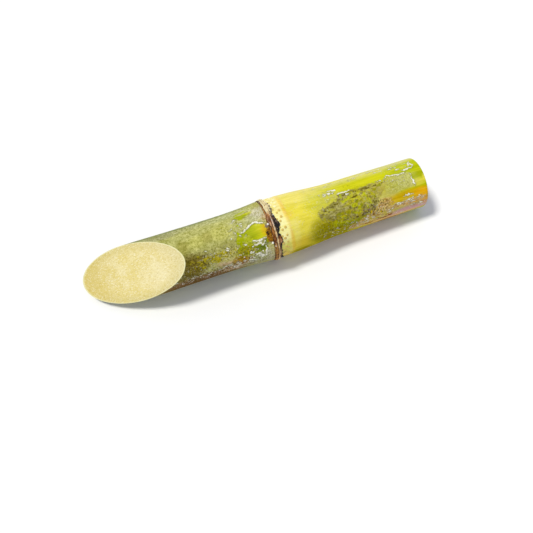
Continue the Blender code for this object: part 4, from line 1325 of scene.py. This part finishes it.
def makeFrill(fibre):
    deselect()
    foot, rows, ring = rim["frillFoot"], rim["frillRows"], rim["frillRadius"]
    bpy.ops.mesh.primitive_circle_add(vertices=rim["around"] * 2, radius=ring, location=(0, 0, 0))
    frill = bpy.context.object
    bpy.ops.object.mode_set(mode="EDIT")
    bpy.ops.mesh.select_mode(type="VERT")
    bpy.ops.mesh.select_all(action="SELECT")
    for _ in range(rows):
        bpy.ops.mesh.extrude_region_move(TRANSFORM_OT_translate={"value": (0, 0, 1 / rows)})
    faceOutward()
    applyModifier(frill, "SOLIDIFY", thickness=rim["frillThickness"], offset=0)
    points = readPoints(frill.data)
    rise, angle, radius = toPolar(points)
    rise = np.clip(rise, 0, 1)
    angles, tops = np.array(frillTop, float).T
    top = np.interp(angle, angles, tops, period=360)
    top = top + 0.32 * roundNoise(angle, 1.6, 121) + 0.22 * roundNoise(angle, 0.8, 122)
    z = foot + (np.maximum(top, 1.2) - foot) * rise
    wave = 0.30 * roundNoise(angle, 2.6, 123) + 0.12 * roundNoise(angle, 1.0, 124)
    thin = 1 - rim["frillThinning"] * rise
    newRadius = ring - 0.03 + (radius - ring) * thin + rise * (rim["frillLean"] + wave)
    newRadius = np.maximum(newRadius, ring - 0.20 + (radius - ring + 0.15) * thin)  # clear of the rim
    writePoints(frill.data, fromPolar(newRadius + outOfRound(angle, z), angle, z))
    colour = np.tile(linear(rimTones["black"]), (len(z), 1))
    for turn, height, halfAngle, halfHeight, tone, strength in frillStrokes:
        share = strokeShare(z, angle, height, turn, halfHeight, halfAngle, strength)
        colour = over(colour, rimTones[tone], share)
    keepColour(frill.data, "tone", colour)
    frill.data.materials.append(fibre)
    frill.name = frill.data.name = "torn_frill"
    return frill


# The bud on the far side: a dome of two wing scales round a plumper middle
bud = {"length": 10.4, "width": 9.2, "sunk": 0.9, "rise": 2.7, "edgeTone": "#3C2210"}
budScales = [  # size, lift, opening, sharpness of the rim, plumpness, start of the dark edge, and tone
    (1.0, 0.0, 0.0, 5, 0.3, 0.68, "#8A5A2A"),
    (0.78, 0.22, 0.42, 12, 0.5, 0.74, "#B88A50"),
    (0.52, 0.38, 0.75, 12, 0.75, 0.7, "#A06C34"),
]


def budHalfWidth(along):  # narrower toward the tip
    return 1 - 0.24 * ease((along + 0.1) / 1.1)


def makeBud(fibre):
    pieces = []
    for layer, (scale, lift, opened, sharp, plump, edgeFrom, tone) in enumerate(budScales):
        deselect()
        bpy.ops.mesh.primitive_uv_sphere_add(segments=56, ring_count=28, radius=1)
        shell = bpy.context.object
        points = readPoints(shell.data)
        x, y, z = points.T
        reach = np.hypot(x, y)
        ribs = 0.05 * np.cos(x * 16) * (1 - reach) + 0.04 * grain(points, (0.12, 0.5, 1), 140 + layer)
        wing = 0.42 * (1 - reach ** sharp)
        middle = 0.58 * ease(1.9 - 2.0 * np.hypot(x, y - 0.06)) * plump
        dome = bud["sunk"] * (1 - reach ** 12) + bud["rise"] * (wing + middle + ribs)
        height = np.where(z < -0.01, 0.0, dome + lift * (1 - reach ** 12))
        outline = 1 + 0.05 * grain(points, 0.5, 150 + layer) * reach
        newX = x * budHalfWidth(y) * bud["width"] / 2 * scale * outline
        newY = (y * scale + opened * 0.25) * bud["length"] / 2 * outline
        writePoints(shell.data, np.stack([newX, newY, height], -1))
        colour = over(np.array(linear(tone)), bud["edgeTone"], ease((reach - edgeFrom) / 0.22))
        veins = ease(0.8 * np.cos(x * 22 + 3 * y) + 1.6 * grain(points, (0.1, 0.8, 1), 170 + layer))
        keepColour(shell.data, "tone", colour * (1 - 0.4 * veins[:, None]))
        shell.data.materials.append(fibre)
        pieces.append(shell)
    joined = joinPieces(pieces, "bud_scales")
    out = Vector((cane["bandRadius"] - bud["sunk"], 0, cane["budHeight"]))
    stand = Matrix(((0, 0, 1), (1, 0, 0), (0, 1, 0))).to_4x4()
    facing = Matrix.Rotation(math.radians(cane["budFacing"]), 4, "Z")
    joined.matrix_world = facing @ Matrix.Translation(out) @ stand
    return joined


def finishPiece(piece, node=None, smooth=60):
    layDown(piece, smooth)
    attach(piece, "root")
    if node:
        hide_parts(node)


addCamera()
addStudio()
print("studio set")
stalk = makeStalk(makeRind(), makePith())
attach(stalk, "root")
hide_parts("stalk")
dots = makeRootDots()
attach(dots, "root")
finishPiece(makeFlakes(), smooth=40)
fibre = makeFibre("dryFibre", 50.0)
finishPiece(makeRim(fibre), "sheath_rim")
finishPiece(makeFrill(fibre))
finishPiece(makeBud(makeFibre("budScale", 54.0, 0.1)), "bud")
